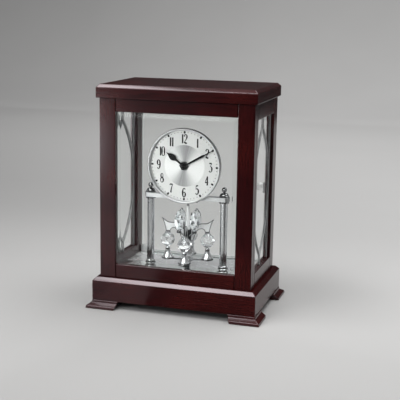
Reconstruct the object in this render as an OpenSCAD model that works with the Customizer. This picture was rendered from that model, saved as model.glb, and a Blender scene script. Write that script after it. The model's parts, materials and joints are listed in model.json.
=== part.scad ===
// Mantel clock with a wood and glass case, leaded side panes and a revolving crystal pendulum.
// X points right, the dial faces -Y and Z points up. The origin lies under the middle of the feet.

/* [Case] */
// Overall height of the clock
clock_h = 285; // [275:1:300]
// Width of the case over its stiles
case_w = 198; // [192:1:210]
// Depth of the case from front to back
case_d = 122; // [116:1:130]

/* [Base and cap] */
// Height of the feet
foot_h = 10; // [9:0.5:13]
// Length of a foot along each of its two outer sides
foot_l = 42; // [34:1:50]
// How far the feet stand out beyond the base slab
foot_outset = 7; // [5:0.5:9]
// How far a foot's inner ends slope in towards the table
foot_slope = 4; // [2:0.5:6]
// Height of the upright band at the bottom of a foot
foot_fascia_h = 3.5; // [2.5:0.25:4]
// Height of the sloping band above the upright one
foot_band_h = 2.5; // [1.5:0.25:3]
// Thickness of the base slab
base_h = 30; // [24:1:36]
// How far the base slab stands out beyond the case
base_overhang = 8; // [5:0.5:11]
// Chamfer along the upper edges of the base slab
base_chamfer = 4.5; // [2:0.5:5]
// Thickness of the cap slab
cap_h = 17; // [13:0.5:22]
// How far the cap slab stands out beyond the case
cap_overhang = 3.5; // [1:0.5:6]
// Chamfer along the upper edges of the cap slab
cap_chamfer = 4; // [2:0.5:6]

/* [Front frame] */
// Thickness of the front frame
front_t = 9; // [8:0.5:11]
// Width of the front stiles
front_stile_w = 21; // [19:0.5:24]
// Height of the front top rail
front_top_rail_h = 16.5; // [13:0.5:20]
// Height of the front bottom rail
front_bottom_rail_h = 17.5; // [14:0.5:20]
// Thickness of the lip in front of the glass
front_lip_t = 5; // [4:0.5:5.5]
// Width of the rabbet behind the lip
rabbet_w = 5; // [4:0.5:6]
// Thickness of the front glass at its middle
front_glass_t = 4; // [3:0.5:5]
// Thickness of the front glass at its edge
front_glass_edge_t = 2; // [1.5:0.25:2.5]
// Width of the bevel that shows around the front glass
glass_bevel_w = 6; // [4:0.5:10]
// Depth of the glazing beads from front to back
bead_d = 4; // [3:0.5:6]

/* [Side frames] */
// Thickness of the side frames
side_t = 12; // [10:0.5:14]
// Width of the side stile behind the front frame
side_stile_w = 9; // [8:0.5:12]
// Width of the rear stile
rear_stile_w = 18; // [16:0.5:22]
// Height of the side top rails
side_top_rail_h = 20.5; // [16:0.5:24]
// Height of the side bottom rails
side_bottom_rail_h = 17.5; // [14:0.5:20]
// Thickness of the side panes
side_glass_t = 3; // [2.5:0.25:4]
// How far the side panes lie behind the case's side faces
side_glass_inset = 4.5; // [3.5:0.25:5]
// Depth of the grooves that hold the side panes
groove_d = 5; // [3:0.5:6]

/* [Lead cames] */
// Width of a lead line
came_w = 3; // [2:0.25:4]
// How far a lead line stands off the glass
came_t = 0.8; // [0.5:0.1:1.2]
// Distance from the pane's visible edge to the middle of its border line
came_margin = 3.5; // [2.5:0.5:8]
// Distance from the pane's visible end to the point of the oval
came_tip = 13.5; // [8:0.5:25]

/* [Back] */
// Thickness of the back rail and sill
back_rail_t = 12; // [10:0.5:14]
// Height of the back top rail
back_rail_h = 18.5; // [15:0.5:22]
// Height of the back sill and of the step under the floor plate
back_sill_h = 3; // [3:0.5:6]
// Thickness of the floor plate
floor_t = 3; // [2.5:0.5:4]
// Thickness of the back glass
door_t = 4; // [3:0.5:4.5]
// How far the back glass lies inside the back of the case
door_inset = 2; // [1.5:0.25:3]
// Length of a pivot clamp along the glass
clamp_l = 9; // [7:0.5:14]
// Height of a pivot clamp
clamp_h = 8; // [6:0.5:12]
// Thickness of a pivot clamp
clamp_w = 7; // [6.5:0.25:7.25]
// Radius of the pivot pins
pivot_r = 2; // [1.5:0.25:2.5]
// Radius of the door pull
pull_r = 5; // [4:0.5:7]
// How far the door pull stands out from the glass
pull_l = 8; // [6:0.5:9]

/* [Columns] */
// Distance between the columns
column_gap = 98.4; // [94:0.2:104]
// Radius of the columns
column_r = 4.7; // [4:0.1:5.5]
// Length of the columns
column_h = 81.5; // [78:0.5:90]
// Height of a column's turned base
column_base_h = 8.5; // [8:0.5:11]
// Radius of a column's turned base
column_base_r = 7.4; // [6.8:0.1:9]
// Radius of the knob on a column
knob_r = 7.2; // [6.5:0.1:8]
// Height of the knob on a column
knob_h = 13.5; // [12:0.5:16]
// Radius of the ball on a knob
finial_r = 3.4; // [2.5:0.1:4]
// Height of the crossbar
bar_h = 5.5; // [4:0.25:7]
// Depth of the crossbar from front to back
bar_d = 8; // [6:0.25:9]
// Distance of the columns in front of the middle of the case
column_front = 9; // [6:0.5:12]

/* [Dial] */
// Outer radius of the bezel
bezel_r = 48; // [45:0.5:52]
// Width of the bezel seen from the front
bezel_w = 3; // [2.5:0.25:4]
// Depth of the bezel
bezel_d = 4; // [3.5:0.25:6]
// Depth of the drum behind the bezel
drum_d = 5; // [4:0.25:8]
// Thickness of the dial plate
dial_t = 1; // [0.8:0.1:1.5]
// How far the drum laps down over the crossbar's front
drum_lap = 8.6; // [6.5:0.2:10]
// Length of the hour hand from its pivot
hour_hand_l = 28.4; // [24:0.2:34]
// Length of the minute hand from its pivot
minute_hand_l = 44.4; // [38:0.2:44.4]
// Hour shown at rest
rest_hour = 10; // [0:1:11]
// Minute shown at rest
rest_minute = 10; // [0:1:59]

/* [Movement] */
// Width and height of the movement case
movement_w = 57; // [55:0.5:60]
// Depth of the movement case
movement_d = 17; // [16.5:0.5:20]
// Radius of the minute arbor
arbor_r = 1.5; // [1.25:0.05:1.6]
// Radius of the hour pipe
pipe_r = 2.6; // [2.3:0.05:2.9]
// Radius of the threaded bush
bush_r = 4; // [3.7:0.1:4.5]
// Radius of the battery
battery_r = 7.1; // [6.5:0.05:7.2]
// Length of the battery without its tip
battery_l = 49; // [48:0.25:50]
// Radius of the set knob
set_knob_r = 5; // [4:0.25:6.5]
// Width of the pendulum motor
motor_w = 28; // [22:0.5:34]
// Depth of the pendulum motor
motor_d = 14.5; // [13:0.5:18]
// Height of the pendulum motor
motor_h = 20.3; // [16:0.5:22]

/* [Pendulum] */
// Radius of the spindle
spindle_r = 1.6; // [1.3:0.05:1.9]
// Turn of the pendulum at rest
rest_turn = 9; // [0:1:90]
// Radius of the circle of bells and drop crystals
ring_r = 26; // [24:0.5:28]
// Height of the pivot cup
cup_h = 9.5; // [8:0.5:11]
// Thickness of the lower cross
cross_t = 1.5; // [1:0.25:2.5]
// Greatest radius of the hub
hub_r = 9.2; // [8:0.1:10]
// Height of a bell
bell_h = 16.5; // [15:0.25:19]
// Radius of a bell at its mouth
bell_r = 8; // [7:0.25:9]
// Height of a drop crystal
drop_h = 17.75; // [16:0.25:20]
// Greatest radius of a drop crystal
drop_r = 9.5; // [8.5:0.25:10]
// Height of the cap over a drop crystal
drop_cap_h = 1.5; // [1:0.25:2.5]
// Thickness of a leaf arm
leaf_t = 1.4; // [1:0.1:2.5]
// Height of a leaf's tip above its foot
leaf_tip_h = 17.6; // [15:0.1:20]
// How far a leaf's tip stands out beyond the circle of drop crystals
leaf_tip_out = 8; // [5:0.25:9]
// Width of a leaf's foot
leaf_foot_w = 5.7; // [5:0.1:7]
// Radius of the collar that carries the leaves
collar_r = 4; // [3.5:0.1:4.5]
// How far the collar reaches down below the leaves' feet
collar_drop = 12; // [10:0.5:14]
// Radius of the circle of upper crystals
upper_ring_r = 14; // [13:0.25:15.5]
// Height of an upper crystal
upper_h = 26; // [22:0.5:28]
// Greatest radius of an upper crystal
upper_r = 6.5; // [5.5:0.25:7]

/* [Hidden] */
$fn = 96;

// Overshoot of a cut past the face it opens
cut = 0.5;
// Room round a glass edge in its rabbet or groove
glass_room = 0.3;
// Radial room of a shaft or pin that turns in a bore
running = 0.05;
// Room between pieces that pass each other
pass_gap = 0.3;

wood = "#3b1a18";
lead = "#6b6b68";
chrome = "#c9ccd2";
clear = "#dfeeea";
crystal = "#eef4fa";
black = "#17171a";
dial_silver = "#e2e4e6";

half_w = case_w / 2;
half_d = case_d / 2;
base_half_w = half_w + base_overhang;
base_half_d = half_d + base_overhang;
base_top = foot_h + base_h;
cap_z = clock_h - cap_h;

// Front frame: the visible opening, the lip's back face and the glass
front_y = -half_d;
front_back = front_y + front_t;
open_x = half_w - front_stile_w;
open_z0 = base_top + front_bottom_rail_h;
open_z1 = cap_z - front_top_rail_h;
lip_back = front_y + front_lip_t;
glass_back = lip_back + front_glass_edge_t;

// Side frames: the visible opening and the pane
side_in = half_w - side_t;
side_y0 = front_back + side_stile_w;
side_y1 = half_d - rear_stile_w;
side_z0 = base_top + side_bottom_rail_h;
side_z1 = cap_z - side_top_rail_h;
pane_out = half_w - side_glass_inset;
pane_in = pane_out - side_glass_t;

// Floor: the plate lies on the back sill and on a step of the base slab
back_in = half_d - back_rail_t;
sill_top = base_top + back_sill_h;
floor_z = sill_top + floor_t;
floor_room = 0.2;

// Back: the rail and the glass door on its pivots
back_rail_z = cap_z - back_rail_h;
door_out = half_d - door_inset;
door_in = door_out - door_t;
hinge_y = (door_in + door_out) / 2;
hinge_x = -side_in + clamp_w / 2 + 0.5;
clamp_wall = 2;
pivot_l = 5;
door_right = side_in - 1;
door_left = hinge_x - 2;
clamp_z0 = floor_z + pass_gap;
clamp_z1 = back_rail_z - pass_gap;
pull_stem_r = 2;
pull_washer_t = 2;
pull_x = door_right - 2 * pull_r;
pull_z = (floor_z + back_rail_z) / 2;

// Columns and crossbar
column_x = column_gap / 2;
column_y = -column_front;
column_z = floor_z + column_base_h;
column_top = column_z + column_h;
spigot_r = 2.5;
spigot_l = 6;
fit = 0.1;
bar_web = 1.2;
bar_lift = 2.9;
bar_overrun = 3.8;
bar_z = column_top + bar_lift;
bar_front = column_y - knob_r - fit - bar_web;
bar_back = bar_front + bar_d;

// Dial and hands, from the back plate forward
drum_r = bezel_r - 0.8;
drum_wall = 1.5;
ledge_w = 1.3;
dial_z = bar_z + bar_h - drum_lap + drum_r;
drum_back = bar_front;
drum_front = drum_back - drum_d;
bezel_in = bezel_r - bezel_w;
dial_r = drum_r - drum_wall - fit;
nut_t = 1.4;
bush_front = drum_front - nut_t - 0.2;
hand_t = 0.5;
hour_back = bush_front - pass_gap;
hour_front = hour_back - hand_t;
minute_back = hour_front - 0.4;
minute_front = minute_back - hand_t;
hand_cap_l = 1.6;
hour_turn = rest_hour * 30 + rest_minute / 2;
minute_turn = rest_minute * 6;

// Movement and pendulum motor
movement_back = drum_back + movement_d;
movement_z = dial_z - movement_w / 2;
pipe_end = drum_back + 2;
set_knob_l = 4;
battery_tip_r = 2.75;
battery_tip_l = 1;
battery_y = movement_back - battery_r;
battery_z = movement_z + battery_r + 4;
motor_top = movement_z;
motor_z = motor_top - motor_h;

// Pendulum levels, from the floor plate up
pendulum_y = bar_back + 5;
cup_top = floor_z + cup_h;
cross_z = cup_top + 1;
cross_top = cross_z + cross_t;
bell_top = cross_top + bell_h;
drop_z = bell_top + 0.4;
drop_top = drop_z + drop_h;
arm_z = drop_top + drop_cap_h;
collar_z = arm_z - collar_drop;
collar_top = arm_z + collar_drop / 4;
leaf_root_r = collar_r - 1;
prong_r = 1.1;
prong_cup_r = 3;
prong_cup_h = 2;
upper_z = arm_z + 2.5;
bore_r = spindle_r + running;
spindle_z = cup_top - 4.5;
spindle_top = motor_z + motor_h - 4;
spire_top = motor_z - 6;

// Box between two opposite corners
module box(lo, hi) {
    translate(lo) cube(hi - lo);
}

// Piece made for the right side, drawn on the right or mirrored to the left
module on_side(side) {
    mirror([side < 0 ? 1 : 0, 0, 0]) children();
}

// Cylinder along Y from the plane y0 back to the plane y1
module rod_y(r, y0, y1) {
    translate([0, y0, 0]) rotate([-90, 0, 0]) cylinder(r = r, h = y1 - y0);
}

// Four copies about the pendulum's axis, starting at an angle
module four_round(start) {
    for (i = [0 : 3])
        translate([0, pendulum_y, 0]) rotate([0, 0, start + 90 * i]) children();
}

// Points of an arc of an ellipse
function arc(cx, cy, rx, ry, a0, a1, steps = 8) =
    [for (i = [0 : steps]) let (a = a0 + (a1 - a0) * i / steps) [cx + rx * cos(a), cy + ry * sin(a)]];

// Points of a cubic curve, without its last point
function curve(a, b, c, d, steps = 8) =
    [for (i = [0 : steps - 1]) let (t = i / steps, s = 1 - t)
        s * s * s * a + 3 * s * s * t * b + 3 * s * t * t * c + t * t * t * d];

// Outline of a half shape joined to its mirror image about the line u = 0
function both_sides(half) =
    concat(half, [for (i = [len(half) - 1 : -1 : 0]) [-half[i][0], half[i][1]]]);

module slab_profile(w, h, chamfer) {
    polygon(both_sides([[w / 2, 0], [w / 2, h - chamfer], [w / 2 - chamfer, h]]));
}

// Slab with a chamfer along its four upper edges
module slab(w, d, h, chamfer) {
    intersection() {
        rotate([90, 0, 0]) linear_extrude(d, center = true) slab_profile(w, h, chamfer);
        rotate([90, 0, 90]) linear_extrude(w, center = true) slab_profile(d, h, chamfer);
    }
}

// Block inside the case between two heights, back to the plane y1
module floor_block(z0, z1, y1) {
    box([floor_room - side_in, front_back + floor_room, z0], [side_in - floor_room, y1, z1]);
}

// Slab under the case, with a step that carries the floor plate
module base_slab() {
    color(wood) difference() {
        union() {
            translate([0, 0, foot_h])
                slab(2 * base_half_w, 2 * base_half_d, base_h, base_chamfer);
            floor_block(base_top - cut, sill_top, back_in);
        }
        for (side = [-1, 1])
            translate([side * column_x, column_y, sill_top - spigot_l - fit])
                cylinder(r = spigot_r + fit, h = spigot_l + fit + cut);
    }
}

module cap_slab() {
    color(wood) translate([0, 0, cap_z])
        slab(case_w + 2 * cap_overhang, case_d + 2 * cap_overhang, cap_h, cap_chamfer);
}

// Section of a foot: an upright band, a sloping band, a cove and a neck under the slab
module foot_profile() {
    neck = 0.5;
    lean = 0.5;
    cove_w = 2;
    cove_z = foot_fascia_h + foot_band_h;
    neck_h = 1;
    inner = foot_outset - foot_l;
    cove_h = foot_h - neck_h - cove_z;
    polygon(concat(
        [[inner + foot_slope, 0], [foot_outset, 0], [foot_outset - lean, foot_fascia_h]],
        arc(neck + cove_w, cove_z + cove_h, cove_w, cove_h, 270, 180),
        [[neck, foot_h], [inner, foot_h]]));
}

// Corner foot, moulded on its two outer sides and mitred at the corner
module foot(side, end) {
    color(wood)
        translate([side * base_half_w, end * base_half_d, 0])
            mirror([side < 0 ? 1 : 0, 0, 0]) mirror([0, end < 0 ? 1 : 0, 0]) intersection() {
                rotate([90, 0, 0]) linear_extrude(3 * foot_l, center = true) foot_profile();
                rotate([90, 0, 90]) linear_extrude(3 * foot_l, center = true) foot_profile();
            }
}

// Stile of the front frame, with a stopped rabbet for the glass
module front_stile(side) {
    color(wood) on_side(side) difference() {
        box([open_x, front_y, base_top], [half_w, front_back, cap_z]);
        box([open_x - cut, lip_back, open_z0 - rabbet_w],
            [open_x + rabbet_w, front_back + cut, open_z1 + rabbet_w]);
    }
}

// Rail of the front frame between two heights, with its rabbet beside the opening
module front_rail(z0, z1, rabbet_z0, rabbet_z1) {
    color(wood) difference() {
        box([-open_x, front_y, z0], [open_x, front_back, z1]);
        box([-open_x - cut, lip_back, rabbet_z0], [open_x + cut, front_back + cut, rabbet_z1]);
    }
}

module front_top_rail() {
    front_rail(open_z1, cap_z, open_z1 - cut, open_z1 + rabbet_w);
}

module front_bottom_rail() {
    front_rail(base_top, open_z0, open_z0 - rabbet_w, open_z0 + cut);
}

// Section of the front glass: a flat middle, a bevel and a thin edge behind the lip
module front_glass_profile(half_opening) {
    edge = half_opening + rabbet_w - glass_room;
    polygon(both_sides([[edge, glass_back], [edge, lip_back], [half_opening, lip_back],
        [half_opening - glass_bevel_w, glass_back - front_glass_t]]));
}

module front_glass() {
    half_h = (open_z1 - open_z0) / 2;
    long = 2 * clock_h;
    color(clear, 0.35) translate([0, 0, (open_z0 + open_z1) / 2]) intersection() {
        linear_extrude(long, center = true) front_glass_profile(open_x);
        rotate([0, 90, 0]) linear_extrude(long, center = true) front_glass_profile(half_h);
    }
}

// Four strips that hold the front glass against the lip
module glazing_beads() {
    inner_x = open_x + glass_room;
    outer_x = open_x + rabbet_w - fit;
    bead_h = rabbet_w - glass_room - fit;
    y1 = glass_back + bead_d;
    lower = open_z0 - glass_room;
    upper = open_z1 + glass_room;
    color(wood) {
        box([-outer_x, glass_back, lower - bead_h], [outer_x, y1, lower]);
        box([-outer_x, glass_back, upper], [outer_x, y1, upper + bead_h]);
        for (side = [-1, 1])
            on_side(side) box([inner_x, glass_back, lower + fit], [outer_x, y1, upper - fit]);
    }
}

// Space that a side pane takes up in the grooves of its frame
module pane_groove() {
    box([pane_in, side_y0 - groove_d, side_z0 - groove_d],
        [pane_out, side_y1 + groove_d, side_z1 + groove_d]);
}

module side_stile(side) {
    color(wood) on_side(side) difference() {
        box([side_in, front_back, base_top], [half_w, side_y0, cap_z]);
        pane_groove();
    }
}

module rear_stile(side) {
    color(wood) on_side(side) difference() {
        box([side_in, side_y1, base_top], [half_w, half_d, cap_z]);
        pane_groove();
    }
}

module side_top_rail(side) {
    color(wood) on_side(side) difference() {
        box([side_in, side_y0, side_z1], [half_w, side_y1, cap_z]);
        pane_groove();
    }
}

module side_bottom_rail(side) {
    color(wood) on_side(side) difference() {
        box([side_in, side_y0, base_top], [half_w, side_y1, side_z0]);
        pane_groove();
    }
}

module side_glass(side) {
    grip = groove_d - glass_room;
    color(clear, 0.35) on_side(side)
        box([pane_in, side_y0 - grip, side_z0 - groove_d], [pane_out, side_y1 + grip, side_z1 + grip]);
}

// Lead lines on one face of a pane: two border lines, a pointed oval and the stems at its points
module came_lines() {
    half_y = (side_y1 - side_y0) / 2;
    half_z = (side_z1 - side_z0) / 2;
    oval_y = half_y - came_margin;
    oval_z = half_z - came_tip;
    arc_r = (oval_y * oval_y + oval_z * oval_z) / (2 * oval_y);
    for (end = [-1, 1]) {
        translate([end * oval_y - came_w / 2, -half_z, 0]) cube([came_w, 2 * half_z, came_t]);
        mirror([0, end < 0 ? 1 : 0, 0])
            translate([-came_w / 2, oval_z, 0]) cube([came_w, came_tip, came_t]);
        mirror([end < 0 ? 1 : 0, 0, 0]) intersection() {
            translate([oval_y - arc_r, 0, 0]) difference() {
                cylinder(r = arc_r + came_w / 2, h = came_t, $fn = 360);
                translate([0, 0, -cut]) cylinder(r = arc_r - came_w / 2, h = came_t + 2 * cut, $fn = 360);
            }
            translate([0, -half_z, 0]) cube([half_y, 2 * half_z, came_t]);
        }
    }
}

// Lead lines on the outer and the inner face of a pane
module side_cames(side) {
    middle_y = (side_y0 + side_y1) / 2;
    middle_z = (side_z0 + side_z1) / 2;
    color(lead) on_side(side)
        for (face_x = [pane_out, pane_in - came_t])
            translate([face_x, middle_y, middle_z]) rotate([90, 0, 90]) came_lines();
}

module back_top_rail() {
    color(wood) difference() {
        box([-side_in, back_in, back_rail_z], [side_in, half_d, cap_z]);
        translate([hinge_x, hinge_y, back_rail_z - cut])
            cylinder(r = pivot_r + running, h = cut + pivot_l + pass_gap);
    }
}

// Hole for the lower pivot pin of the door
module pivot_hole() {
    translate([hinge_x, hinge_y, floor_z - pivot_l - pass_gap])
        cylinder(r = pivot_r + running, h = cut + pivot_l + pass_gap);
}

module back_sill() {
    color(wood) difference() {
        box([-side_in, back_in, base_top], [side_in, half_d, sill_top]);
        pivot_hole();
    }
}

// Plate inside the case, on the step and the sill
module floor_plate() {
    color(chrome) difference() {
        floor_block(sill_top, floor_z, half_d - floor_room);
        for (side = [-1, 1])
            translate([side * column_x, column_y, sill_top - cut])
                cylinder(r = spigot_r + fit, h = floor_t + 2 * cut);
        pivot_hole();
    }
}

// Turned base of a column: a bun between two rings, with a spigot below and a short one above
module column_base(side) {
    foot_r = column_base_r - 2.2;
    band_r = column_base_r - 1.6;
    bun_z = column_base_h - 3.2;
    color(chrome) translate([side * column_x, column_y, floor_z]) rotate_extrude()
        polygon(concat(
            [[0, -spigot_l - floor_t], [spigot_r, -spigot_l - floor_t], [spigot_r, 0], [foot_r, 0]],
            arc(foot_r, bun_z / 2 + 0.6, column_base_r - foot_r, bun_z / 2 - 0.6, -90, 90),
            [[foot_r, bun_z + 0.8], [band_r, bun_z + 0.8], [band_r, bun_z + 2.2], [column_r, column_base_h],
             [spigot_r, column_base_h], [spigot_r, column_base_h + spigot_l],
             [0, column_base_h + spigot_l]]));
}

module column(side) {
    color(chrome) translate([side * column_x, column_y, column_z]) difference() {
        cylinder(r = column_r, h = column_h);
        for (z = [-cut, column_h - spigot_l - fit])
            translate([0, 0, z]) cylinder(r = spigot_r + fit, h = spigot_l + fit + cut);
    }
}

// Knob on a column: a spigot, a ring, a body in the crossbar's pocket, a ring, a dome and a ball
module column_knob(side) {
    groove_h = 0.5;
    groove_r = knob_r - 1.6;
    lower_band_r = knob_r - 0.8;
    upper_band_r = knob_r - 1.1;
    body_top = bar_lift + bar_h;
    dome_z = body_top + 3 * groove_h;
    neck_r = finial_r / 2;
    color(chrome) translate([side * column_x, column_y, column_top]) {
        rotate_extrude() polygon(concat(
            [[0, -spigot_l], [spigot_r, -spigot_l], [spigot_r, 0], [lower_band_r, 0],
             [lower_band_r, bar_lift - groove_h], [groove_r, bar_lift - groove_h], [groove_r, bar_lift],
             [knob_r, bar_lift], [knob_r, body_top], [groove_r, body_top], [groove_r, body_top + groove_h],
             [upper_band_r, body_top + groove_h], [upper_band_r, dome_z]],
            arc(neck_r, dome_z, groove_r - neck_r, knob_h - dome_z, 0, 90),
            [[neck_r, knob_h + finial_r], [0, knob_h + finial_r]]));
        translate([0, 0, knob_h + 1.1 * finial_r]) sphere(r = finial_r);
    }
}

// Bar between the columns, with a round pocket for each knob
module crossbar() {
    color(chrome) difference() {
        box([-column_x - bar_overrun, bar_front, bar_z], [column_x + bar_overrun, bar_back, bar_z + bar_h]);
        for (side = [-1, 1])
            translate([side * column_x, column_y, bar_z - cut])
                cylinder(r = knob_r + fit, h = bar_h + 2 * cut);
    }
}

// Shallow cup behind the dial, with a ledge that the dial plate lies on
module dial_drum() {
    color(chrome) translate([0, 0, dial_z]) difference() {
        rod_y(drum_r, drum_front, drum_back);
        rod_y(drum_r - drum_wall, drum_front - cut, drum_front + dial_t);
        rod_y(drum_r - drum_wall - ledge_w, drum_front - cut, drum_back - drum_wall);
        rod_y(bush_r + fit, drum_front, drum_back + cut);
    }
}

// Rounded ring that covers the edge of the dial plate
module bezel() {
    round = bezel_w / 2;
    color(chrome) translate([0, drum_front, dial_z]) rotate([90, 0, 0]) rotate_extrude()
        polygon(concat(
            [[bezel_in, 0], [bezel_r, 0]],
            arc(bezel_r - round, bezel_d - round, round, round, 0, 180)));
}

module dial_plate() {
    color(dial_silver) translate([0, 0, dial_z]) difference() {
        rod_y(dial_r, drum_front, drum_front + dial_t);
        rod_y(bush_r + fit, drum_front - cut, drum_front + dial_t + cut);
    }
}

// Closed movement case with its threaded bush in front and a battery trough at the back
module movement_case() {
    trough_l = battery_l + battery_tip_l + 2 * fit;
    trough_r = battery_r + fit;
    color(black) difference() {
        union() {
            box([-movement_w / 2, drum_back, movement_z],
                [movement_w / 2, movement_back, movement_z + movement_w]);
            translate([0, 0, dial_z]) rod_y(bush_r, bush_front, drum_back + cut);
        }
        translate([0, 0, dial_z]) {
            rod_y(pipe_r + running, bush_front - cut, pipe_end + pass_gap);
            rod_y(arbor_r + running, pipe_end, movement_back + cut);
        }
        translate([-trough_l / 2, battery_y, battery_z]) {
            rotate([0, 90, 0]) cylinder(r = trough_r, h = trough_l);
            translate([0, 0, -trough_r]) cube([trough_l, battery_r + cut, 2 * trough_r]);
        }
    }
}

module movement_nut() {
    color(chrome) translate([0, 0, dial_z]) difference() {
        translate([0, drum_front, 0]) rotate([90, 0, 0]) cylinder(r = bush_r + 2.4, h = nut_t, $fn = 6);
        rod_y(bush_r + running, drum_front - nut_t - cut, drum_front + cut);
    }
}

module battery() {
    color("#8a8f96")
        translate([-(battery_l + battery_tip_l) / 2, battery_y, battery_z]) rotate([0, 90, 0]) {
            cylinder(r = battery_r, h = battery_l);
            cylinder(r = battery_tip_r, h = battery_l + battery_tip_l);
        }
}

module pendulum_motor() {
    color(black) difference() {
        box([-motor_w / 2, bar_back, motor_z], [motor_w / 2, bar_back + motor_d, motor_top]);
        translate([0, pendulum_y, motor_z - cut])
            cylinder(r = bore_r, h = cut + spindle_top - motor_z + pass_gap);
    }
}

// Post on the floor plate with a cup for the spindle's lower end
module pivot_cup() {
    flange_r = 6;
    flange_h = 1.5;
    post_r = 3;
    head_r = 4.5;
    head_h = 3;
    color("#2e3136") translate([0, pendulum_y, floor_z]) difference() {
        rotate_extrude() polygon([[0, 0], [flange_r, 0], [flange_r, flange_h], [post_r, flange_h + 0.6],
            [post_r, cup_h - head_h], [head_r, cup_h - head_h + 0.6], [head_r, cup_h], [0, cup_h]]);
        translate([0, 0, spindle_z - floor_z - pass_gap]) cylinder(r = bore_r, h = cup_h);
    }
}

// Block on the right rear stile that the closed door stops against
module door_catch() {
    catch_w = 4;
    catch_d = 4;
    catch_h = 14;
    color(black)
        box([side_in - catch_w, door_in - pass_gap - catch_d, pull_z - catch_h / 2],
            [side_in, door_in - pass_gap, pull_z + catch_h / 2]);
}

module back_glass() {
    color(clear, 0.35) difference() {
        box([door_left, door_in, clamp_z0 + clamp_wall], [door_right, door_out, clamp_z1 - clamp_wall]);
        translate([pull_x, 0, pull_z]) rod_y(pull_stem_r + fit, door_in - cut, door_out + cut);
    }
}

// Clamp under the glass's lower corner, with its pivot pin pointing down
module door_clamp() {
    difference() {
        union() {
            cylinder(r = clamp_w / 2, h = clamp_h);
            translate([0, -clamp_w / 2, 0]) cube([clamp_l, clamp_w, clamp_h]);
            translate([0, 0, -pivot_l]) cylinder(r = pivot_r, h = pivot_l + cut);
        }
        translate([door_left - hinge_x, -door_t / 2, clamp_wall]) cube([clamp_l + clamp_w, door_t, clamp_h]);
    }
}

module door_clamps() {
    color(chrome) {
        translate([hinge_x, hinge_y, clamp_z0]) door_clamp();
        translate([hinge_x, hinge_y, clamp_z1]) mirror([0, 0, 1]) door_clamp();
    }
}

// Turned pull outside the glass, its stem and the washer inside
module door_pull() {
    neck_r = pull_r - 1.8;
    neck_l = 2.5;
    color(chrome) translate([pull_x, door_out, pull_z]) rotate([-90, 0, 0]) rotate_extrude()
        polygon(concat(
            [[0, -door_t - pull_washer_t], [pull_r - 1, -door_t - pull_washer_t], [pull_r - 1, -door_t],
             [pull_stem_r, -door_t], [pull_stem_r, 0], [neck_r, 0], [neck_r, neck_l], [pull_r, neck_l + 1.5]],
            arc(0, neck_l + 1.5, pull_r, pull_l - neck_l - 1.5, 0, 90)));
}

// Flat hand from its outline, turned clockwise as seen from the front, with its back at the plane y
module hand_blade(outline, boss_r, turn, y) {
    translate([0, y, dial_z]) rotate([90, 0, 0]) rotate([0, 0, -turn]) {
        linear_extrude(hand_t) polygon(outline);
        cylinder(r = boss_r, h = hand_t);
    }
}

// Spade-shaped hour hand on its pipe
module hour_hand() {
    stem = 1.2;
    spade = 3.9;
    widest = hour_hand_l - 10;
    outline = both_sides(concat(
        [[stem, 0]],
        curve([stem, widest - 7], [stem, widest - 4], [spade, widest - 4], [spade, widest]),
        curve([spade, widest], [spade, widest + 4], [1, widest + 5.5], [0.1, hour_hand_l]),
        [[0.1, hour_hand_l]]));
    color(black) difference() {
        union() {
            hand_blade(outline, bush_r + 1, hour_turn, hour_back);
            translate([0, 0, dial_z]) rod_y(pipe_r, hour_front, pipe_end);
        }
        translate([0, 0, dial_z]) rod_y(arbor_r + running, hour_front - cut, pipe_end + cut);
    }
}

// Slim minute hand on the arbor, which runs back through the movement
module minute_hand() {
    stem = 1;
    widest = 1.5;
    needle = 0.6;
    tip = 0.3;
    shoulder = 0.61 * minute_hand_l;
    taper_l = 0.13 * minute_hand_l;
    outline = both_sides(concat(
        [[stem, 0]],
        curve([widest, shoulder], [widest, shoulder + taper_l / 2], [needle, shoulder + taper_l / 2],
            [needle, shoulder + taper_l]),
        [[needle, shoulder + taper_l], [tip, minute_hand_l]]));
    color(black) {
        hand_blade(outline, bush_r, minute_turn, minute_back);
        translate([0, 0, dial_z])
            rod_y(arbor_r, minute_front - hand_cap_l / 2, movement_back + pass_gap + set_knob_l);
    }
}

module hand_cap() {
    cap_r = arbor_r + 1.4;
    color(black) translate([0, minute_front, dial_z]) rotate([90, 0, 0]) difference() {
        rotate_extrude() polygon(concat([[0, 0]], arc(0, 0.4, cap_r, hand_cap_l - 0.4, 0, 90)));
        translate([0, 0, -cut]) cylinder(r = arbor_r + running, h = cut + hand_cap_l / 2 + fit);
    }
}

module set_knob() {
    color(black) translate([0, 0, dial_z]) difference() {
        rod_y(set_knob_r, movement_back + pass_gap, movement_back + pass_gap + set_knob_l);
        rod_y(arbor_r + running, movement_back, movement_back + pass_gap + set_knob_l + cut);
    }
}

module spindle() {
    color(chrome) translate([0, pendulum_y, spindle_z]) cylinder(r = spindle_r, h = spindle_top - spindle_z);
}

// Slim cone on the spindle above the leaf arms
module spire() {
    color(chrome) translate([0, pendulum_y, collar_top]) difference() {
        cylinder(r1 = collar_r - 0.6, r2 = spindle_r + 0.5, h = spire_top - collar_top);
        translate([0, 0, -cut]) cylinder(r = bore_r, h = spire_top - collar_top + 2 * cut);
    }
}

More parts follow.
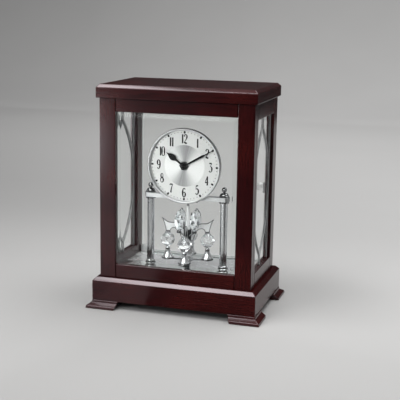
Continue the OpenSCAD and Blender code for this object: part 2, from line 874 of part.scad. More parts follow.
// Turned cup between the lower cross and the leaf arms: a foot, a neck, a round bowl and a rim
module pendulum_hub() {
    hub_h = collar_z - cross_top;
    hub_foot_r = 0.72 * hub_r;
    neck_r = 0.55 * hub_r;
    neck_z = 0.14 * hub_h;
    wall_r = 0.94 * hub_r;
    wall_z = 0.42 * hub_h;
    rim_z = 0.85 * hub_h;
    rim_h = 0.05 * hub_h;
    top_r = 1.1 * collar_r;
    color(chrome) translate([0, pendulum_y, cross_top]) difference() {
        rotate_extrude() polygon(concat(
            [[0, 0], [hub_foot_r, 0]],
            curve([hub_foot_r, 0.3 * neck_z], [neck_r, 0.4 * neck_z], [neck_r, 0.7 * neck_z],
                [neck_r, neck_z]),
            curve([neck_r, neck_z], [0.85 * wall_r, neck_z], [wall_r, 0.5 * wall_z], [wall_r, wall_z]),
            [[wall_r, wall_z], [wall_r, rim_z], [hub_r, rim_z], [hub_r, rim_z + rim_h]],
            curve([wall_r, rim_z + rim_h], [0.7 * wall_r, hub_h], [top_r, rim_z + rim_h], [top_r, hub_h]),
            [[top_r, hub_h], [0, hub_h]]));
        translate([0, 0, -cut]) cylinder(r = bore_r, h = hub_h + 2 * cut);
    }
}

// Outline of a leaf arm: radius from the spindle, and height above the arm's foot
function leaf_outline() =
    let (
        low = -0.96 * collar_drop,
        top = 0.2 * collar_drop,
        mid = 0.69 * ring_r,
        arch = 0.25 * leaf_tip_h,
        back = 0.64 * leaf_tip_h,
        cheek = 0.7 * leaf_tip_h,
        inner = ring_r - 0.6 * leaf_foot_w,
        outer = ring_r + 0.4 * leaf_foot_w,
        tip = ring_r + leaf_tip_out)
    concat(
        [[leaf_root_r, low]],
        curve([0.25 * ring_r, low], [0.365 * ring_r, 0.8 * low], [0.365 * ring_r, arch], [mid, arch]),
        curve([mid, arch], [0.8 * ring_r, arch], [inner, 0.6 * arch], [inner, 0]),
        [[inner, 0]],
        curve([outer, 0], [1.04 * outer, 0.36 * leaf_tip_h], [1.08 * outer, 0.65 * leaf_tip_h],
            [tip, leaf_tip_h]),
        curve([tip, leaf_tip_h], [0.94 * tip, 1.36 * cheek], [0.86 * tip, 1.12 * cheek], [ring_r, cheek]),
        curve([ring_r, cheek], [0.92 * ring_r, back], [0.81 * ring_r, 1.04 * back], [mid, back]),
        curve([mid, back], [0.46 * ring_r, 0.95 * back], [0.31 * ring_r, 0.46 * back], [leaf_root_r, top]),
        [[leaf_root_r, top]]);

// Collar on the spindle with four leaf arms, and between them four prongs with cups
module leaf_spider() {
    prong_z = arm_z - collar_drop / 2;
    cup_z = upper_z - prong_cup_h;
    prong_run = upper_ring_r - leaf_root_r;
    prong_rise = cup_z + prong_r - prong_z;
    color(chrome) difference() {
        union() {
            translate([0, pendulum_y, collar_z]) cylinder(r = collar_r, h = collar_top - collar_z);
            four_round(rest_turn)
                translate([0, leaf_t / 2, arm_z]) rotate([90, 0, 0])
                    linear_extrude(leaf_t) polygon(leaf_outline());
            four_round(rest_turn + 45) {
                translate([leaf_root_r, 0, prong_z]) rotate([0, atan2(prong_run, prong_rise), 0])
                    cylinder(r = prong_r, h = norm([prong_run, prong_rise]));
                translate([upper_ring_r, 0, cup_z]) cylinder(r = prong_cup_r, h = prong_cup_h);
            }
        }
        translate([0, pendulum_y, collar_z - cut]) cylinder(r = bore_r, h = collar_top - collar_z + 2 * cut);
    }
}

// Small caps between the drop crystals and the leaf arms
module drop_caps() {
    cap_r = 0.34 * drop_r;
    color(chrome) four_round(rest_turn)
        translate([ring_r, 0, drop_top]) cylinder(r = cap_r, h = drop_cap_h);
}

// Cut crystal from rings of [radius, height], each ring turned half a facet from the last
module cut_crystal(rings, sides) {
    last = len(rings) - 1;
    function corner(ring, side) = ring * sides + side % sides;
    points = [for (i = [0 : last], j = [0 : sides - 1])
        let (a = 360 / sides * (j + (i % 2) / 2)) [rings[i][0] * cos(a), rings[i][0] * sin(a), rings[i][1]]];
    bands = [for (i = [0 : last - 1], j = [0 : sides - 1], half = [0, 1])
        i % 2 == 0
            ? (half == 0
                ? [corner(i, j + 1), corner(i, j), corner(i + 1, j)]
                : [corner(i, j + 1), corner(i + 1, j), corner(i + 1, j + 1)])
            : (half == 0
                ? [corner(i + 1, j + 1), corner(i, j), corner(i + 1, j)]
                : [corner(i, j + 1), corner(i, j), corner(i + 1, j + 1)])];
    ends = [[for (j = [0 : sides - 1]) corner(0, j)], [for (j = [sides - 1 : -1 : 0]) corner(last, j)]];
    polyhedron(points, concat(bands, ends));
}

module drop_crystals() {
    rings = [[0.45 * drop_r, 0], [0.86 * drop_r, 0.2 * drop_h], [drop_r, 0.47 * drop_h],
        [0.86 * drop_r, 0.73 * drop_h], [0.32 * drop_r, drop_h]];
    color(crystal, 0.7) four_round(rest_turn)
        translate([ring_r, 0, drop_z]) cut_crystal(rings, 8);
}

module upper_crystals() {
    rings = [[0.24 * upper_r, 0], [0.72 * upper_r, 0.12 * upper_h], [upper_r, 0.36 * upper_h],
        [0.96 * upper_r, 0.6 * upper_h], [0.7 * upper_r, 0.82 * upper_h], [0.24 * upper_r, upper_h]];
    color(crystal, 0.7) four_round(rest_turn + 45)
        translate([upper_ring_r, 0, upper_z]) cut_crystal(rings, 8);
}

// Four thin arms under the bells, with a disc at the middle and at each end
module lower_cross() {
    arm_w = 2.4;
    disc_r = 0.92 * hub_r;
    end_r = 4;
    color(chrome) difference() {
        union() {
            translate([0, pendulum_y, cross_z]) cylinder(r = disc_r, h = cross_t);
            four_round(rest_turn) translate([0, 0, cross_z]) {
                translate([0, -arm_w / 2, 0]) cube([ring_r, arm_w, cross_t]);
                translate([ring_r, 0, 0]) cylinder(r = end_r, h = cross_t);
            }
        }
        translate([0, pendulum_y, cross_z - cut]) cylinder(r = bore_r, h = cross_t + 2 * cut);
    }
}

// Bell-shaped bobs that stand on the ends of the lower cross: a lip, a flare, a ring and a crown
module bells() {
    lip_h = 0.055 * bell_h;
    neck_r = 0.34 * bell_r;
    neck_z = 0.78 * bell_h;
    bead_r = 0.42 * bell_r;
    crown_z = neck_z + 0.05 * bell_h;
    color(chrome) four_round(rest_turn) translate([ring_r, 0, cross_top]) rotate_extrude()
        polygon(concat(
            [[0, 0], [bell_r, 0], [bell_r, lip_h]],
            curve([0.92 * bell_r, 1.6 * lip_h], [0.7 * bell_r, 0.25 * bell_h], [0.42 * bell_r, 0.5 * bell_h],
                [neck_r, neck_z]),
            [[neck_r, neck_z], [bead_r, neck_z], [bead_r, crown_z]],
            arc(0, crown_z, neck_r, bell_h - crown_z, 0, 90)));
}

base_slab();
cap_slab();
foot(-1, -1);  // foot_front_left
foot(1, -1);  // foot_front_right
foot(-1, 1);  // foot_rear_left
foot(1, 1);  // foot_rear_right
front_stile(-1);  // front_stile_left
front_stile(1);  // front_stile_right
front_top_rail();
front_bottom_rail();
front_glass();
glazing_beads();
side_stile(-1);  // side_stile_left
side_stile(1);  // side_stile_right
rear_stile(-1);  // rear_stile_left
rear_stile(1);  // rear_stile_right
side_top_rail(-1);  // side_top_rail_left
side_top_rail(1);  // side_top_rail_right
side_bottom_rail(-1);  // side_bottom_rail_left
side_bottom_rail(1);  // side_bottom_rail_right
side_glass(-1);  // side_glass_left
side_glass(1);  // side_glass_right
side_cames(-1);  // side_cames_left
side_cames(1);  // side_cames_right
back_top_rail();
back_sill();
floor_plate();
column(-1);  // column_left
column(1);  // column_right
column_base(-1);  // column_base_left
column_base(1);  // column_base_right
column_knob(-1);  // column_knob_left
column_knob(1);  // column_knob_right
crossbar();
dial_drum();
bezel();
dial_plate();
movement_case();
movement_nut();
battery();
pendulum_motor();
pivot_cup();
door_catch();
back_glass();
door_clamps();
door_pull();
hour_hand();
minute_hand();
hand_cap();
set_knob();
spindle();
spire();
pendulum_hub();
leaf_spider();
drop_caps();
drop_crystals();
upper_crystals();
lower_cross();
bells();
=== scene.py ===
"""Finished look of a mantel clock: a wood and glass case, a silver dial and a revolving crystal pendulum."""

import json
import math

import bmesh
import bpy
from bpy.props import FloatProperty, FloatVectorProperty, PointerProperty
from mathutils import Matrix, Vector

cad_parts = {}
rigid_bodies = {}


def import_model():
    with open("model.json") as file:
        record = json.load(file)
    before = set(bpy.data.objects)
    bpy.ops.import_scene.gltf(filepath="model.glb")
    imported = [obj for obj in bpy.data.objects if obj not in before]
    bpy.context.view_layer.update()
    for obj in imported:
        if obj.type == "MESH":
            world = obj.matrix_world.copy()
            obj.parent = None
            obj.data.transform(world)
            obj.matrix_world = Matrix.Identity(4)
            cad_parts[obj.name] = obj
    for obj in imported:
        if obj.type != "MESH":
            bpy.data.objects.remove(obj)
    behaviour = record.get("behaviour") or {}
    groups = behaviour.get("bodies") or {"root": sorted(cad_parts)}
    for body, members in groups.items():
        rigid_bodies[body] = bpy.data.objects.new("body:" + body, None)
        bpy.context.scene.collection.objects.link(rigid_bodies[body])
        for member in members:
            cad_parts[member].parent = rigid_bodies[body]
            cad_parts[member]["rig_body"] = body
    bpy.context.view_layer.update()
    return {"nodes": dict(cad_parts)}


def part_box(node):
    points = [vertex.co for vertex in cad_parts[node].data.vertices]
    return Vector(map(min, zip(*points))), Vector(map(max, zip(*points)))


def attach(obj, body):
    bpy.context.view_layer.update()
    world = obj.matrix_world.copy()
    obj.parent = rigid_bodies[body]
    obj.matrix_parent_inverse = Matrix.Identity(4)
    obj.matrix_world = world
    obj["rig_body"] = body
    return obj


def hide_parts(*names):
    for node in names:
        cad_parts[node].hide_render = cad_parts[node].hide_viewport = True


bl_info = {
    "name": "Crystal Mantel Clock",
    "version": (1, 0, 0),
    "blender": (4, 5, 0),
    "location": "View3D > Sidebar > Clock",
    "description": "Builds the finished look of a wood and glass mantel clock over its packed frame",
    "category": "Object",
}

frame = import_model()
MM = 0.001
# Points this close merge: on CAD meshes and the floor, and on finer drawn meshes
MERGE, FINE_MERGE = 1e-6, 1e-7

DIAL_LOW, DIAL_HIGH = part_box("dial_plate")
DIAL_R = (DIAL_HIGH.z - DIAL_LOW.z) / 2
DIAL_CENTRE = Vector((0, DIAL_LOW.y, DIAL_LOW.z + DIAL_R))

WOOD_ACROSS = [
    "base_slab", "cap_slab", "front_top_rail", "front_bottom_rail", "back_top_rail", "back_sill",
    "foot_front_left", "foot_front_right", "foot_rear_left", "foot_rear_right", "glazing_beads",
]
WOOD_DEEP = ["side_top_rail_left", "side_top_rail_right", "side_bottom_rail_left", "side_bottom_rail_right"]
WOOD_UPRIGHT = [
    "front_stile_left", "front_stile_right", "side_stile_left", "side_stile_right",
    "rear_stile_left", "rear_stile_right",
]
SHAFTS = ["column_left", "column_right"]
BASES = ["column_base_left", "column_base_right"]
KNOBS = ["column_knob_left", "column_knob_right"]

# Pen strokes of the numerals: how each runs, then across, up and half width at its points, all in shares
# of the numeral's height.
SMOOTH, STRAIGHT, RING = "smooth", "straight", "ring"
DIGITS = {
    "0": [(RING, [(0, 1, 0.022), (-0.15, 0.5, 0.058), (0, 0, 0.022), (0.15, 0.5, 0.058)])],
    "1": [(STRAIGHT, [(0, 0, 0.055), (0, 1, 0.055)])],
    "2": [
        (SMOOTH, [(-0.15, 0.77, 0.05), (-0.1, 0.95, 0.03), (0.03, 1, 0.025), (0.16, 0.87, 0.05),
                  (0.16, 0.7, 0.055), (0.06, 0.46, 0.032), (-0.09, 0.24, 0.022), (-0.17, 0.06, 0.03)]),
        (SMOOTH, [(-0.17, 0.05, 0.035), (-0.06, 0.09, 0.055), (0.07, 0.04, 0.06), (0.18, 0.08, 0.03)]),
    ],
    "3": [
        (STRAIGHT, [(-0.15, 0.96, 0.048), (0.16, 0.96, 0.042)]),
        (STRAIGHT, [(0.16, 0.96, 0.022), (-0.02, 0.6, 0.02)]),
        (SMOOTH, [(-0.02, 0.6, 0.022), (0.12, 0.55, 0.04), (0.18, 0.34, 0.06), (0.1, 0.06, 0.032),
                  (-0.04, 0, 0.028), (-0.15, 0.13, 0.05)]),
    ],
    "4": [
        (STRAIGHT, [(0.08, 1, 0.024), (-0.2, 0.3, 0.022)]),
        (STRAIGHT, [(-0.2, 0.3, 0.036), (0.2, 0.3, 0.036)]),
        (STRAIGHT, [(0.08, 1, 0.05), (0.08, 0, 0.055)]),
        (STRAIGHT, [(-0.02, 0.015, 0.02), (0.18, 0.015, 0.02)]),
    ],
    "5": [
        (SMOOTH, [(-0.12, 0.95, 0.04), (0, 0.96, 0.052), (0.15, 1, 0.03)]),
        (STRAIGHT, [(-0.12, 0.96, 0.022), (-0.13, 0.56, 0.02)]),
        (SMOOTH, [(-0.13, 0.56, 0.02), (0, 0.63, 0.034), (0.15, 0.5, 0.055), (0.17, 0.28, 0.06),
                  (0.08, 0.05, 0.034), (-0.06, 0, 0.028), (-0.15, 0.13, 0.05)]),
    ],
    "6": [
        (SMOOTH, [(0.14, 0.86, 0.05), (0.07, 0.98, 0.026), (-0.05, 0.96, 0.03), (-0.15, 0.75, 0.052),
                  (-0.17, 0.35, 0.062), (-0.11, 0.08, 0.042), (0, 0, 0.028), (0.12, 0.1, 0.048),
                  (0.16, 0.3, 0.058), (0.1, 0.5, 0.038), (-0.02, 0.55, 0.024), (-0.13, 0.42, 0.02)]),
    ],
    "7": [
        (STRAIGHT, [(-0.17, 0.95, 0.05), (0.18, 0.95, 0.044)]),
        (STRAIGHT, [(-0.17, 0.95, 0.03), (-0.18, 0.82, 0.016)]),
        (SMOOTH, [(0.18, 0.95, 0.024), (0.06, 0.6, 0.034), (-0.02, 0.25, 0.05), (-0.04, 0, 0.06)]),
    ],
    "8": [
        (RING, [(0, 0.99, 0.026), (-0.13, 0.78, 0.046), (0, 0.53, 0.046), (0.13, 0.78, 0.026)]),
        (RING, [(0, 0.53, 0.042), (0.17, 0.27, 0.056), (0, 0, 0.026), (-0.17, 0.27, 0.03)]),
    ],
}
DIGITS["9"] = [(kind, [(-u, 1 - v, r) for u, v, r in points]) for kind, points in DIGITS["6"]]
# Where the digits of a double numeral stand, across its middle
DIGIT_SPACING = {"10": (-0.2, 0.14), "11": (-0.14, 0.14), "12": (-0.25, 0.12)}


class ClockCaseSettings(bpy.types.PropertyGroup):
    """Wood of the case"""

    edge_round: FloatProperty(
        name="Edge rounding", description="Radius of the eased wood edges", default=0.8 * MM, min=0,
        unit="LENGTH")
    wood_dark: FloatVectorProperty(
        name="Dark grain", description="Colour of the dark grain lines", default=(0.008, 0.0006, 0.0008),
        subtype="COLOR", min=0, max=1)
    wood_light: FloatVectorProperty(
        name="Light grain", description="Colour between the grain lines", default=(0.022, 0.0014, 0.0018),
        subtype="COLOR", min=0, max=1)
    wood_warm: FloatVectorProperty(
        name="Warm patches", description="Colour of the warm patches of the wood",
        default=(0.042, 0.004, 0.003), subtype="COLOR", min=0, max=1)


class ClockGlassSettings(bpy.types.PropertyGroup):
    """Panes, lead lines and crystals"""

    pane_tint: FloatVectorProperty(
        name="Pane tint", description="Colour of the clear panes", default=(0.985, 0.995, 0.99),
        subtype="COLOR", min=0, max=1)
    bevel_tint: FloatVectorProperty(
        name="Bevel tint", description="Colour of the front pane's bevel", default=(0.9, 0.95, 0.92),
        subtype="COLOR", min=0, max=1)
    edge_tint: FloatVectorProperty(
        name="Edge tint", description="Colour of a pane's cut edges", default=(0.62, 0.86, 0.78),
        subtype="COLOR", min=0, max=1)
    lead_colour: FloatVectorProperty(
        name="Lead", description="Colour of the lead lines", default=(0.36, 0.365, 0.37),
        subtype="COLOR", min=0, max=1)
    crystal_tint: FloatVectorProperty(
        name="Crystal tint", description="Colour of the cut crystals", default=(0.97, 0.985, 1.0),
        subtype="COLOR", min=0, max=1)


class ClockMetalSettings(bpy.types.PropertyGroup):
    """Polished and satin metal"""

    chrome_colour: FloatVectorProperty(
        name="Chrome", description="Colour of the polished metal", default=(0.55, 0.56, 0.575),
        subtype="COLOR", min=0, max=1)
    column_colour: FloatVectorProperty(
        name="Columns", description="Colour of the column shafts", default=(0.62, 0.63, 0.645),
        subtype="COLOR", min=0, max=1)
    # Painted shade: the knobs take a darker copy of the chrome, standing in for their dark reflections
    knob_colour: FloatVectorProperty(
        name="Knobs", description="Colour of the knobs on the columns", default=(0.36, 0.365, 0.375),
        subtype="COLOR", min=0, max=1)
    base_colour: FloatVectorProperty(
        name="Column bases", description="Colour of the column bases", default=(0.5, 0.505, 0.515),
        subtype="COLOR", min=0, max=1)
    bright_colour: FloatVectorProperty(
        name="Bright silver", description="Colour of the bezel and the crossbar",
        default=(0.55, 0.555, 0.565), subtype="COLOR", min=0, max=1)
    drum_colour: FloatVectorProperty(
        name="Drum", description="Colour of the drum behind the dial", default=(0.28, 0.285, 0.295),
        subtype="COLOR", min=0, max=1)
    satin_colour: FloatVectorProperty(
        name="Door fittings", description="Colour of the door's clamps and pull", default=(0.9, 0.905, 0.91),
        subtype="COLOR", min=0, max=1)
    plate_colour: FloatVectorProperty(
        name="Floor plate", description="Colour of the bright plate in the case", default=(0.77, 0.77, 0.78),
        subtype="COLOR", min=0, max=1)
    cup_colour: FloatVectorProperty(
        name="Pivot cup", description="Colour of the cup under the spindle", default=(0.12, 0.12, 0.13),
        subtype="COLOR", min=0, max=1)
    spire_colour: FloatVectorProperty(
        name="Spire", description="Colour of the pendulum's spire", default=(0.94, 0.945, 0.95),
        subtype="COLOR", min=0, max=1)
    hub_colour: FloatVectorProperty(
        name="Hub", description="Colour of the pendulum's hub", default=(0.66, 0.665, 0.675),
        subtype="COLOR", min=0, max=1)
    leaf_colour: FloatVectorProperty(
        name="Leaf arms", description="Colour of the leaf arms", default=(0.8, 0.805, 0.815),
        subtype="COLOR", min=0, max=1)
    # Painted shade along the rims and cut edges of the leaf arms
    leaf_edge_colour: FloatVectorProperty(
        name="Leaf edges", description="Colour of the rims and edges of the leaf arms",
        default=(0.06, 0.061, 0.064), subtype="COLOR", min=0, max=1)
    bell_colour: FloatVectorProperty(
        name="Bells", description="Colour of the bells", default=(0.74, 0.745, 0.755),
        subtype="COLOR", min=0, max=1)
    leaf_rim: FloatProperty(
        name="Leaf rim", description="Width of the dark rim of a leaf arm", default=0.8 * MM, min=0,
        unit="LENGTH")
    edge_break: FloatProperty(
        name="Broken edge", description="Width of the broken edges of metal pieces", default=0.2 * MM, min=0,
        unit="LENGTH")


class ClockDialSettings(bpy.types.PropertyGroup):
    """Dial, numerals and dots"""

    silver: FloatVectorProperty(
        name="Dial silver", description="Colour of the bright rays", default=(0.71, 0.71, 0.705),
        subtype="COLOR", min=0, max=1)
    ring_silver: FloatVectorProperty(
        name="Ring silver", description="Colour of the ring that carries the numerals",
        default=(0.57, 0.57, 0.565), subtype="COLOR", min=0, max=1)
    # Painted shade of the rayed middle, dark at the top and the foot
    sunray_dark: FloatVectorProperty(
        name="Sunray shade", description="Colour of the dark rays at the dial's middle",
        default=(0.195, 0.195, 0.2), subtype="COLOR", min=0, max=1)
    ink: FloatVectorProperty(
        name="Ink", description="Colour of the numerals and the hour dots", default=(0.004, 0.004, 0.0045),
        subtype="COLOR", min=0, max=1)
    pale_ink: FloatVectorProperty(
        name="Pale ink", description="Colour of the minute dots", default=(0.1, 0.1, 0.105),
        subtype="COLOR", min=0, max=1)
    sunray_r: FloatProperty(
        name="Sunray radius", description="Radius of the rayed middle of the dial", default=26.5 * MM,
        unit="LENGTH")
    numeral_h: FloatProperty(
        name="Numeral height", description="Height of the numerals", default=11.4 * MM, unit="LENGTH")
    numeral_ring: FloatProperty(
        name="Numeral ring", description="Radius of the circle of numerals", default=34.2 * MM, unit="LENGTH")
    dot_ring: FloatProperty(
        name="Dot ring", description="Radius of the circle of dots", default=42.6 * MM, unit="LENGTH")
    hour_dot: FloatProperty(
        name="Hour dot", description="Radius of an hour dot", default=1.35 * MM, unit="LENGTH")
    minute_dot: FloatProperty(
        name="Minute dot", description="Radius of a minute dot", default=0.6 * MM, unit="LENGTH")


class ClockStageSettings(bpy.types.PropertyGroup):
    """Floor, cards, lamps and camera"""

    floor_colour: FloatVectorProperty(
        name="Floor", description="Colour of the floor and backdrop", default=(0.36, 0.357, 0.353),
        subtype="COLOR", min=0, max=1)
    top_power: FloatProperty(
        name="Top lamp", description="Power of the soft lamp overhead", default=6.5, min=0, unit="POWER")
    key_power: FloatProperty(
        name="Key lamp", description="Power of the soft lamp at the front left", default=0.8, min=0,
        unit="POWER")
    fill_power: FloatProperty(
        name="Fill lamp", description="Power of the soft lamp at the front", default=1.0, min=0, unit="POWER")
    side_power: FloatProperty(
        name="Side lamp", description="Power of the low lamp at the front left", default=0.7, min=0,
        unit="POWER")
    card_glow: FloatProperty(
        name="Card glow", description="Strength of the bright card's middle", default=1.6, min=0)
    card_edge: FloatProperty(
        name="Card edge glow", description="Strength of the bright card's edge", default=0.4, min=0)
    rear_power: FloatProperty(
        name="Rear lamp", description="Power of the lamp over the floor behind on the right", default=6.0,
        min=0, unit="POWER")
    backdrop_power: FloatProperty(
        name="Backdrop lamp", description="Power of the lamp over the backdrop", default=22.0, min=0,
        unit="POWER")
    lens: FloatProperty(
        name="Lens", description="Focal length of the camera", default=84.96, min=1, unit="CAMERA")


def step(mat, kind, values=None, **settings):
    """Adds a node to a material, its inputs filled by name or place with values or other nodes' sockets."""
    tree = mat.node_tree
    node = tree.nodes.new(kind)
    for name, value in settings.items():
        setattr(node, name, value)
    for key, value in (values or {}).items():
        if isinstance(value, bpy.types.NodeSocket):
            tree.links.new(value, node.inputs[key])
        else:
            node.inputs[key].default_value = value
    return node


def math_step(mat, operation, *values):
    return step(mat, "ShaderNodeMath", dict(enumerate(values)), operation=operation).outputs[0]


def ramp(mat, value, *stops):
    """Colour that runs through (position, colour) stops."""
    node = step(mat, "ShaderNodeValToRGB", {"Fac": value})
    line = node.color_ramp.elements
    while len(line) < len(stops):
        line.new(0.5)
    for element, (position, colour) in zip(line, stops):
        element.position = position
        element.color = (*colour, 1)
    return node.outputs["Color"]


def mix_colour(mat, share, first, second, blend_type="MIX"):
    node = step(mat, "ShaderNodeMix", {0: share}, data_type="RGBA", blend_type=blend_type)
    for key, value in ((6, first), (7, second)):
        if isinstance(value, bpy.types.NodeSocket):
            mat.node_tree.links.new(value, node.inputs[key])
        else:
            node.inputs[key].default_value = (*value, 1)
    return node.outputs[2]


def spread(mat, value, low, high, start=0.0, end=1.0):
    """Value from start to end spread between two limits."""
    return step(mat, "ShaderNodeMapRange", {
        "Value": value, "From Min": start, "From Max": end, "To Min": low, "To Max": high}).outputs["Result"]


def noise(mat, vector, scale, detail=3.0, roughness=0.5, distortion=0.0):
    return step(mat, "ShaderNodeTexNoise", {
        "Vector": vector, "Scale": scale, "Detail": detail, "Roughness": roughness, "Distortion": distortion,
    }).outputs["Fac"]


def placed(mat, **mapping):
    """Object coordinates, moved, turned or scaled by a Mapping node."""
    coords = step(mat, "ShaderNodeTexCoord").outputs["Object"]
    if not mapping:
        return coords
    values = {name.capitalize(): value for name, value in mapping.items()}
    return step(mat, "ShaderNodeMapping", {"Vector": coords, **values}).outputs["Vector"]


def bump(mat, height, strength, distance):
    return step(mat, "ShaderNodeBump", {
        "Height": height, "Strength": strength, "Distance": distance}).outputs["Normal"]


def scaled(colour, share):
    return tuple(share * part for part in colour)


def finish(name, colour, sockets, build=None):
    """Material of that name, made once: constant values on the shader, then the nodes that build adds."""
    mat = bpy.data.materials.get(name)
    if mat:
        return mat
    mat = bpy.data.materials.new(name)
    mat.use_nodes = True
    shader = mat.node_tree.nodes["Principled BSDF"]
    shader.inputs["Base Color"].default_value = (*colour, 1)
    for socket, value in sockets.items():
        shader.inputs[socket].default_value = value
    if build:
        for socket, source in build(mat).items():
            mat.node_tree.links.new(source, shader.inputs[socket])
    return mat


def wood_finish(axis):
    """Dark lacquered wood with its grain along x, y or z."""
    settings = bpy.context.scene.clock_case
    dark = tuple(settings.wood_dark)
    light = tuple(settings.wood_light)
    warm = tuple(settings.wood_warm)

    def build(mat):
        run, cross = 9.0, 150.0
        scale = tuple(run if name == axis else cross for name in "xyz")
        along = placed(mat, scale=scale)
        figure = noise(mat, along, 1.0, detail=5.0, roughness=0.6, distortion=1.4)
        pores = noise(mat, along, 6.0, detail=2.0, roughness=0.7)
        tone = noise(mat, placed(mat), 11.0, detail=2.0)
        grain = ramp(mat, figure, (0.3, dark), (0.5, light), (0.72, dark))
        open_pores = ramp(mat, pores, (0.36, (0.55, 0.5, 0.5)), (0.5, (1.0, 1.0, 1.0)))
        toned = mix_colour(mat, spread(mat, tone, 0.0, 0.7, 0.42, 0.66), grain, warm)
        return {
            "Base Color": mix_colour(mat, 1.0, toned, open_pores, "MULTIPLY"),
            "Roughness": spread(mat, figure, 0.13, 0.21),
            "Normal": bump(mat, pores, 0.12, 0.1 * MM),
        }

    lacquer = {"IOR": 1.45, "Specular Tint": (1.0, 0.89, 0.94, 1)}
    return finish(f"dark_wood_along_{axis}", light, lacquer, build)


def joint_finish():
    """Dark line of a joint between two wood members."""
    def build(mat):
        return {"Roughness": spread(mat, noise(mat, placed(mat), 300.0), 0.55, 0.7)}

    return finish("dark_joint", (0.0015, 0.0006, 0.0006), {"IOR": 1.1}, build)


def let_lamps_through(mat):
    """Lets shadow rays pass a clear material, so that lamps light what is behind it."""
    tree = mat.node_tree
    output = tree.nodes["Material Output"]
    if output.inputs["Surface"].links[0].from_node.type == "MIX_SHADER":
        return mat
    shadow = step(mat, "ShaderNodeLightPath").outputs["Is Shadow Ray"]
    open_way = step(mat, "ShaderNodeBsdfTransparent", {"Color": (0.93, 0.95, 0.94, 1)})
    both = step(mat, "ShaderNodeMixShader", {
        0: shadow, 1: tree.nodes["Principled BSDF"].outputs[0], 2: open_way.outputs[0]})
    tree.links.new(both.outputs[0], output.inputs["Surface"])
    return mat


def pane_finish(name, tint):
    """Clear polished glass with a very faint haze of handling."""
    def build(mat):
        haze = noise(mat, placed(mat), 25.0, detail=4.0)
        return {"Roughness": spread(mat, haze, 0.0, 0.006)}

    return let_lamps_through(finish(name, tint, {"Transmission Weight": 1.0, "IOR": 1.2}, build))


def pane_edge_finish():
    """Ground and polished edge of a pane."""
    def build(mat):
        return {"Roughness": spread(mat, noise(mat, placed(mat), 400.0), 0.12, 0.3)}

    sockets = {"Transmission Weight": 0.8, "IOR": 1.45}
    return let_lamps_through(finish("pane_edge", bpy.context.scene.clock_glass.edge_tint, sockets, build))


def crystal_finishes():
    """Cut crystal: clear facets, facets with a painted glint that flash like a mirror, and facets darkened
    with painted shade.
    """
    tint = tuple(bpy.context.scene.clock_glass.crystal_tint)

    def build(mat):
        return {"Roughness": spread(mat, noise(mat, placed(mat), 220.0), 0.0, 0.012)}

    clear = {"Transmission Weight": 1.0, "IOR": 1.3}
    return [
        let_lamps_through(finish("cut_crystal", tint, clear, build)),
        # Painted glint: an opaque facet that flashes like a mirror
        finish("flashing_facet", tint, {"Metallic": 0.3, "Roughness": 0.25}),
        # Painted shade: a clear facet darkened to a third of the tint
        let_lamps_through(finish("deep_facet", scaled(tint, 0.35), clear, build)),
    ]


def metal_colour(piece_name):
    return tuple(getattr(bpy.context.scene.clock_metal, f"{piece_name}_colour"))


def metal_finish(name, piece_name, low, high, grain=60.0, scale=(1.0, 1.0, 1.0), metallic=1.0):
    """Metal in the colour set for a piece, whose polish varies a little over the surface."""
    colour = metal_colour(piece_name)

    def build(mat):
        patch = noise(mat, placed(mat, scale=scale), grain, detail=4.0, roughness=0.6)
        return {
            "Base Color": ramp(mat, patch, (0.35, scaled(colour, 0.9)), (0.6, colour)),
            "Roughness": spread(mat, patch, low, high),
        }

    return finish(name, colour, {"Metallic": metallic}, build)


def chrome_finish():
    return metal_finish("polished_chrome", "chrome", 0.03, 0.1)


def banded_finish(name, piece_name, metallic, polish, low, high, bands):
    """Turned metal with painted shade: dark in bands from one share to another of the way from a low to a
    high level.
    """
    bright = metal_colour(piece_name)
    # Painted shade: the bands take a small share of the metal's colour
    dark = scaled(bright, 0.12)
    soft = 0.05
    stops = []
    for start, end in bands:
        if start > soft:
            stops.append((start - soft, bright))
        stops += [(start, dark), (end, dark), (end + soft, bright)]

    def build(mat):
        level = step(mat, "ShaderNodeSeparateXYZ", {0: placed(mat)}).outputs["Z"]
        return {
            "Base Color": ramp(mat, spread(mat, level, 0.0, 1.0, low, high), *stops),
            "Roughness": spread(mat, noise(mat, placed(mat), 60.0), *polish),
        }

    return finish(name, bright, {"Metallic": metallic}, build)


def base_finish():
    """Chrome of a column's base, with painted shade at its foot and in the groove over its bun."""
    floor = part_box("floor_plate")[1].z
    foot, groove = (0.0, 0.12), (0.5, 0.61)
    return banded_finish("base_chrome", "base", 0.85, (0.05, 0.1), floor, floor + 10 * MM, (foot, groove))


def bell_finish():
    """Silver of a bell, with painted shade at its rim and under its bead."""
    low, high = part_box("bells")
    rim, neck = (0.0, 0.07), (0.73, 0.78)
    return banded_finish("bell_silver", "bell", 1.0, (0.12, 0.18), low.z, high.z, (rim, neck))


def bright_finish():
    return metal_finish("bright_silver", "bright", 0.34, 0.42)


def lead_finish():
    """Lead with a light patina."""
    colour = tuple(bpy.context.scene.clock_glass.lead_colour)

    def build(mat):
        patina = noise(mat, placed(mat), 180.0, detail=5.0, roughness=0.65)
        return {
            "Base Color": ramp(mat, patina, (0.3, scaled(colour, 0.7)), (0.65, colour)),
            "Roughness": spread(mat, patina, 0.3, 0.5),
            "Normal": bump(mat, patina, 0.2, 0.1 * MM),
        }

    return finish("lead_line", colour, {"Metallic": 0.8}, build)


def black_finish(name, colour, low, high, grain, depth):
    """Black paint or moulded plastic with a fine surface grain."""
    def build(mat):
        fine = noise(mat, placed(mat), grain, detail=3.0)
        return {
            "Base Color": ramp(mat, fine, (0.3, colour), (0.7, scaled(colour, 1.5))),
            "Roughness": spread(mat, fine, low, high),
            "Normal": bump(mat, fine, 0.25, depth),
        }

    return finish(name, colour, {"IOR": 1.25}, build)


def plastic_finish():
    return black_finish("moulded_black", (0.016, 0.016, 0.018), 0.42, 0.58, 1400.0, 0.05 * MM)


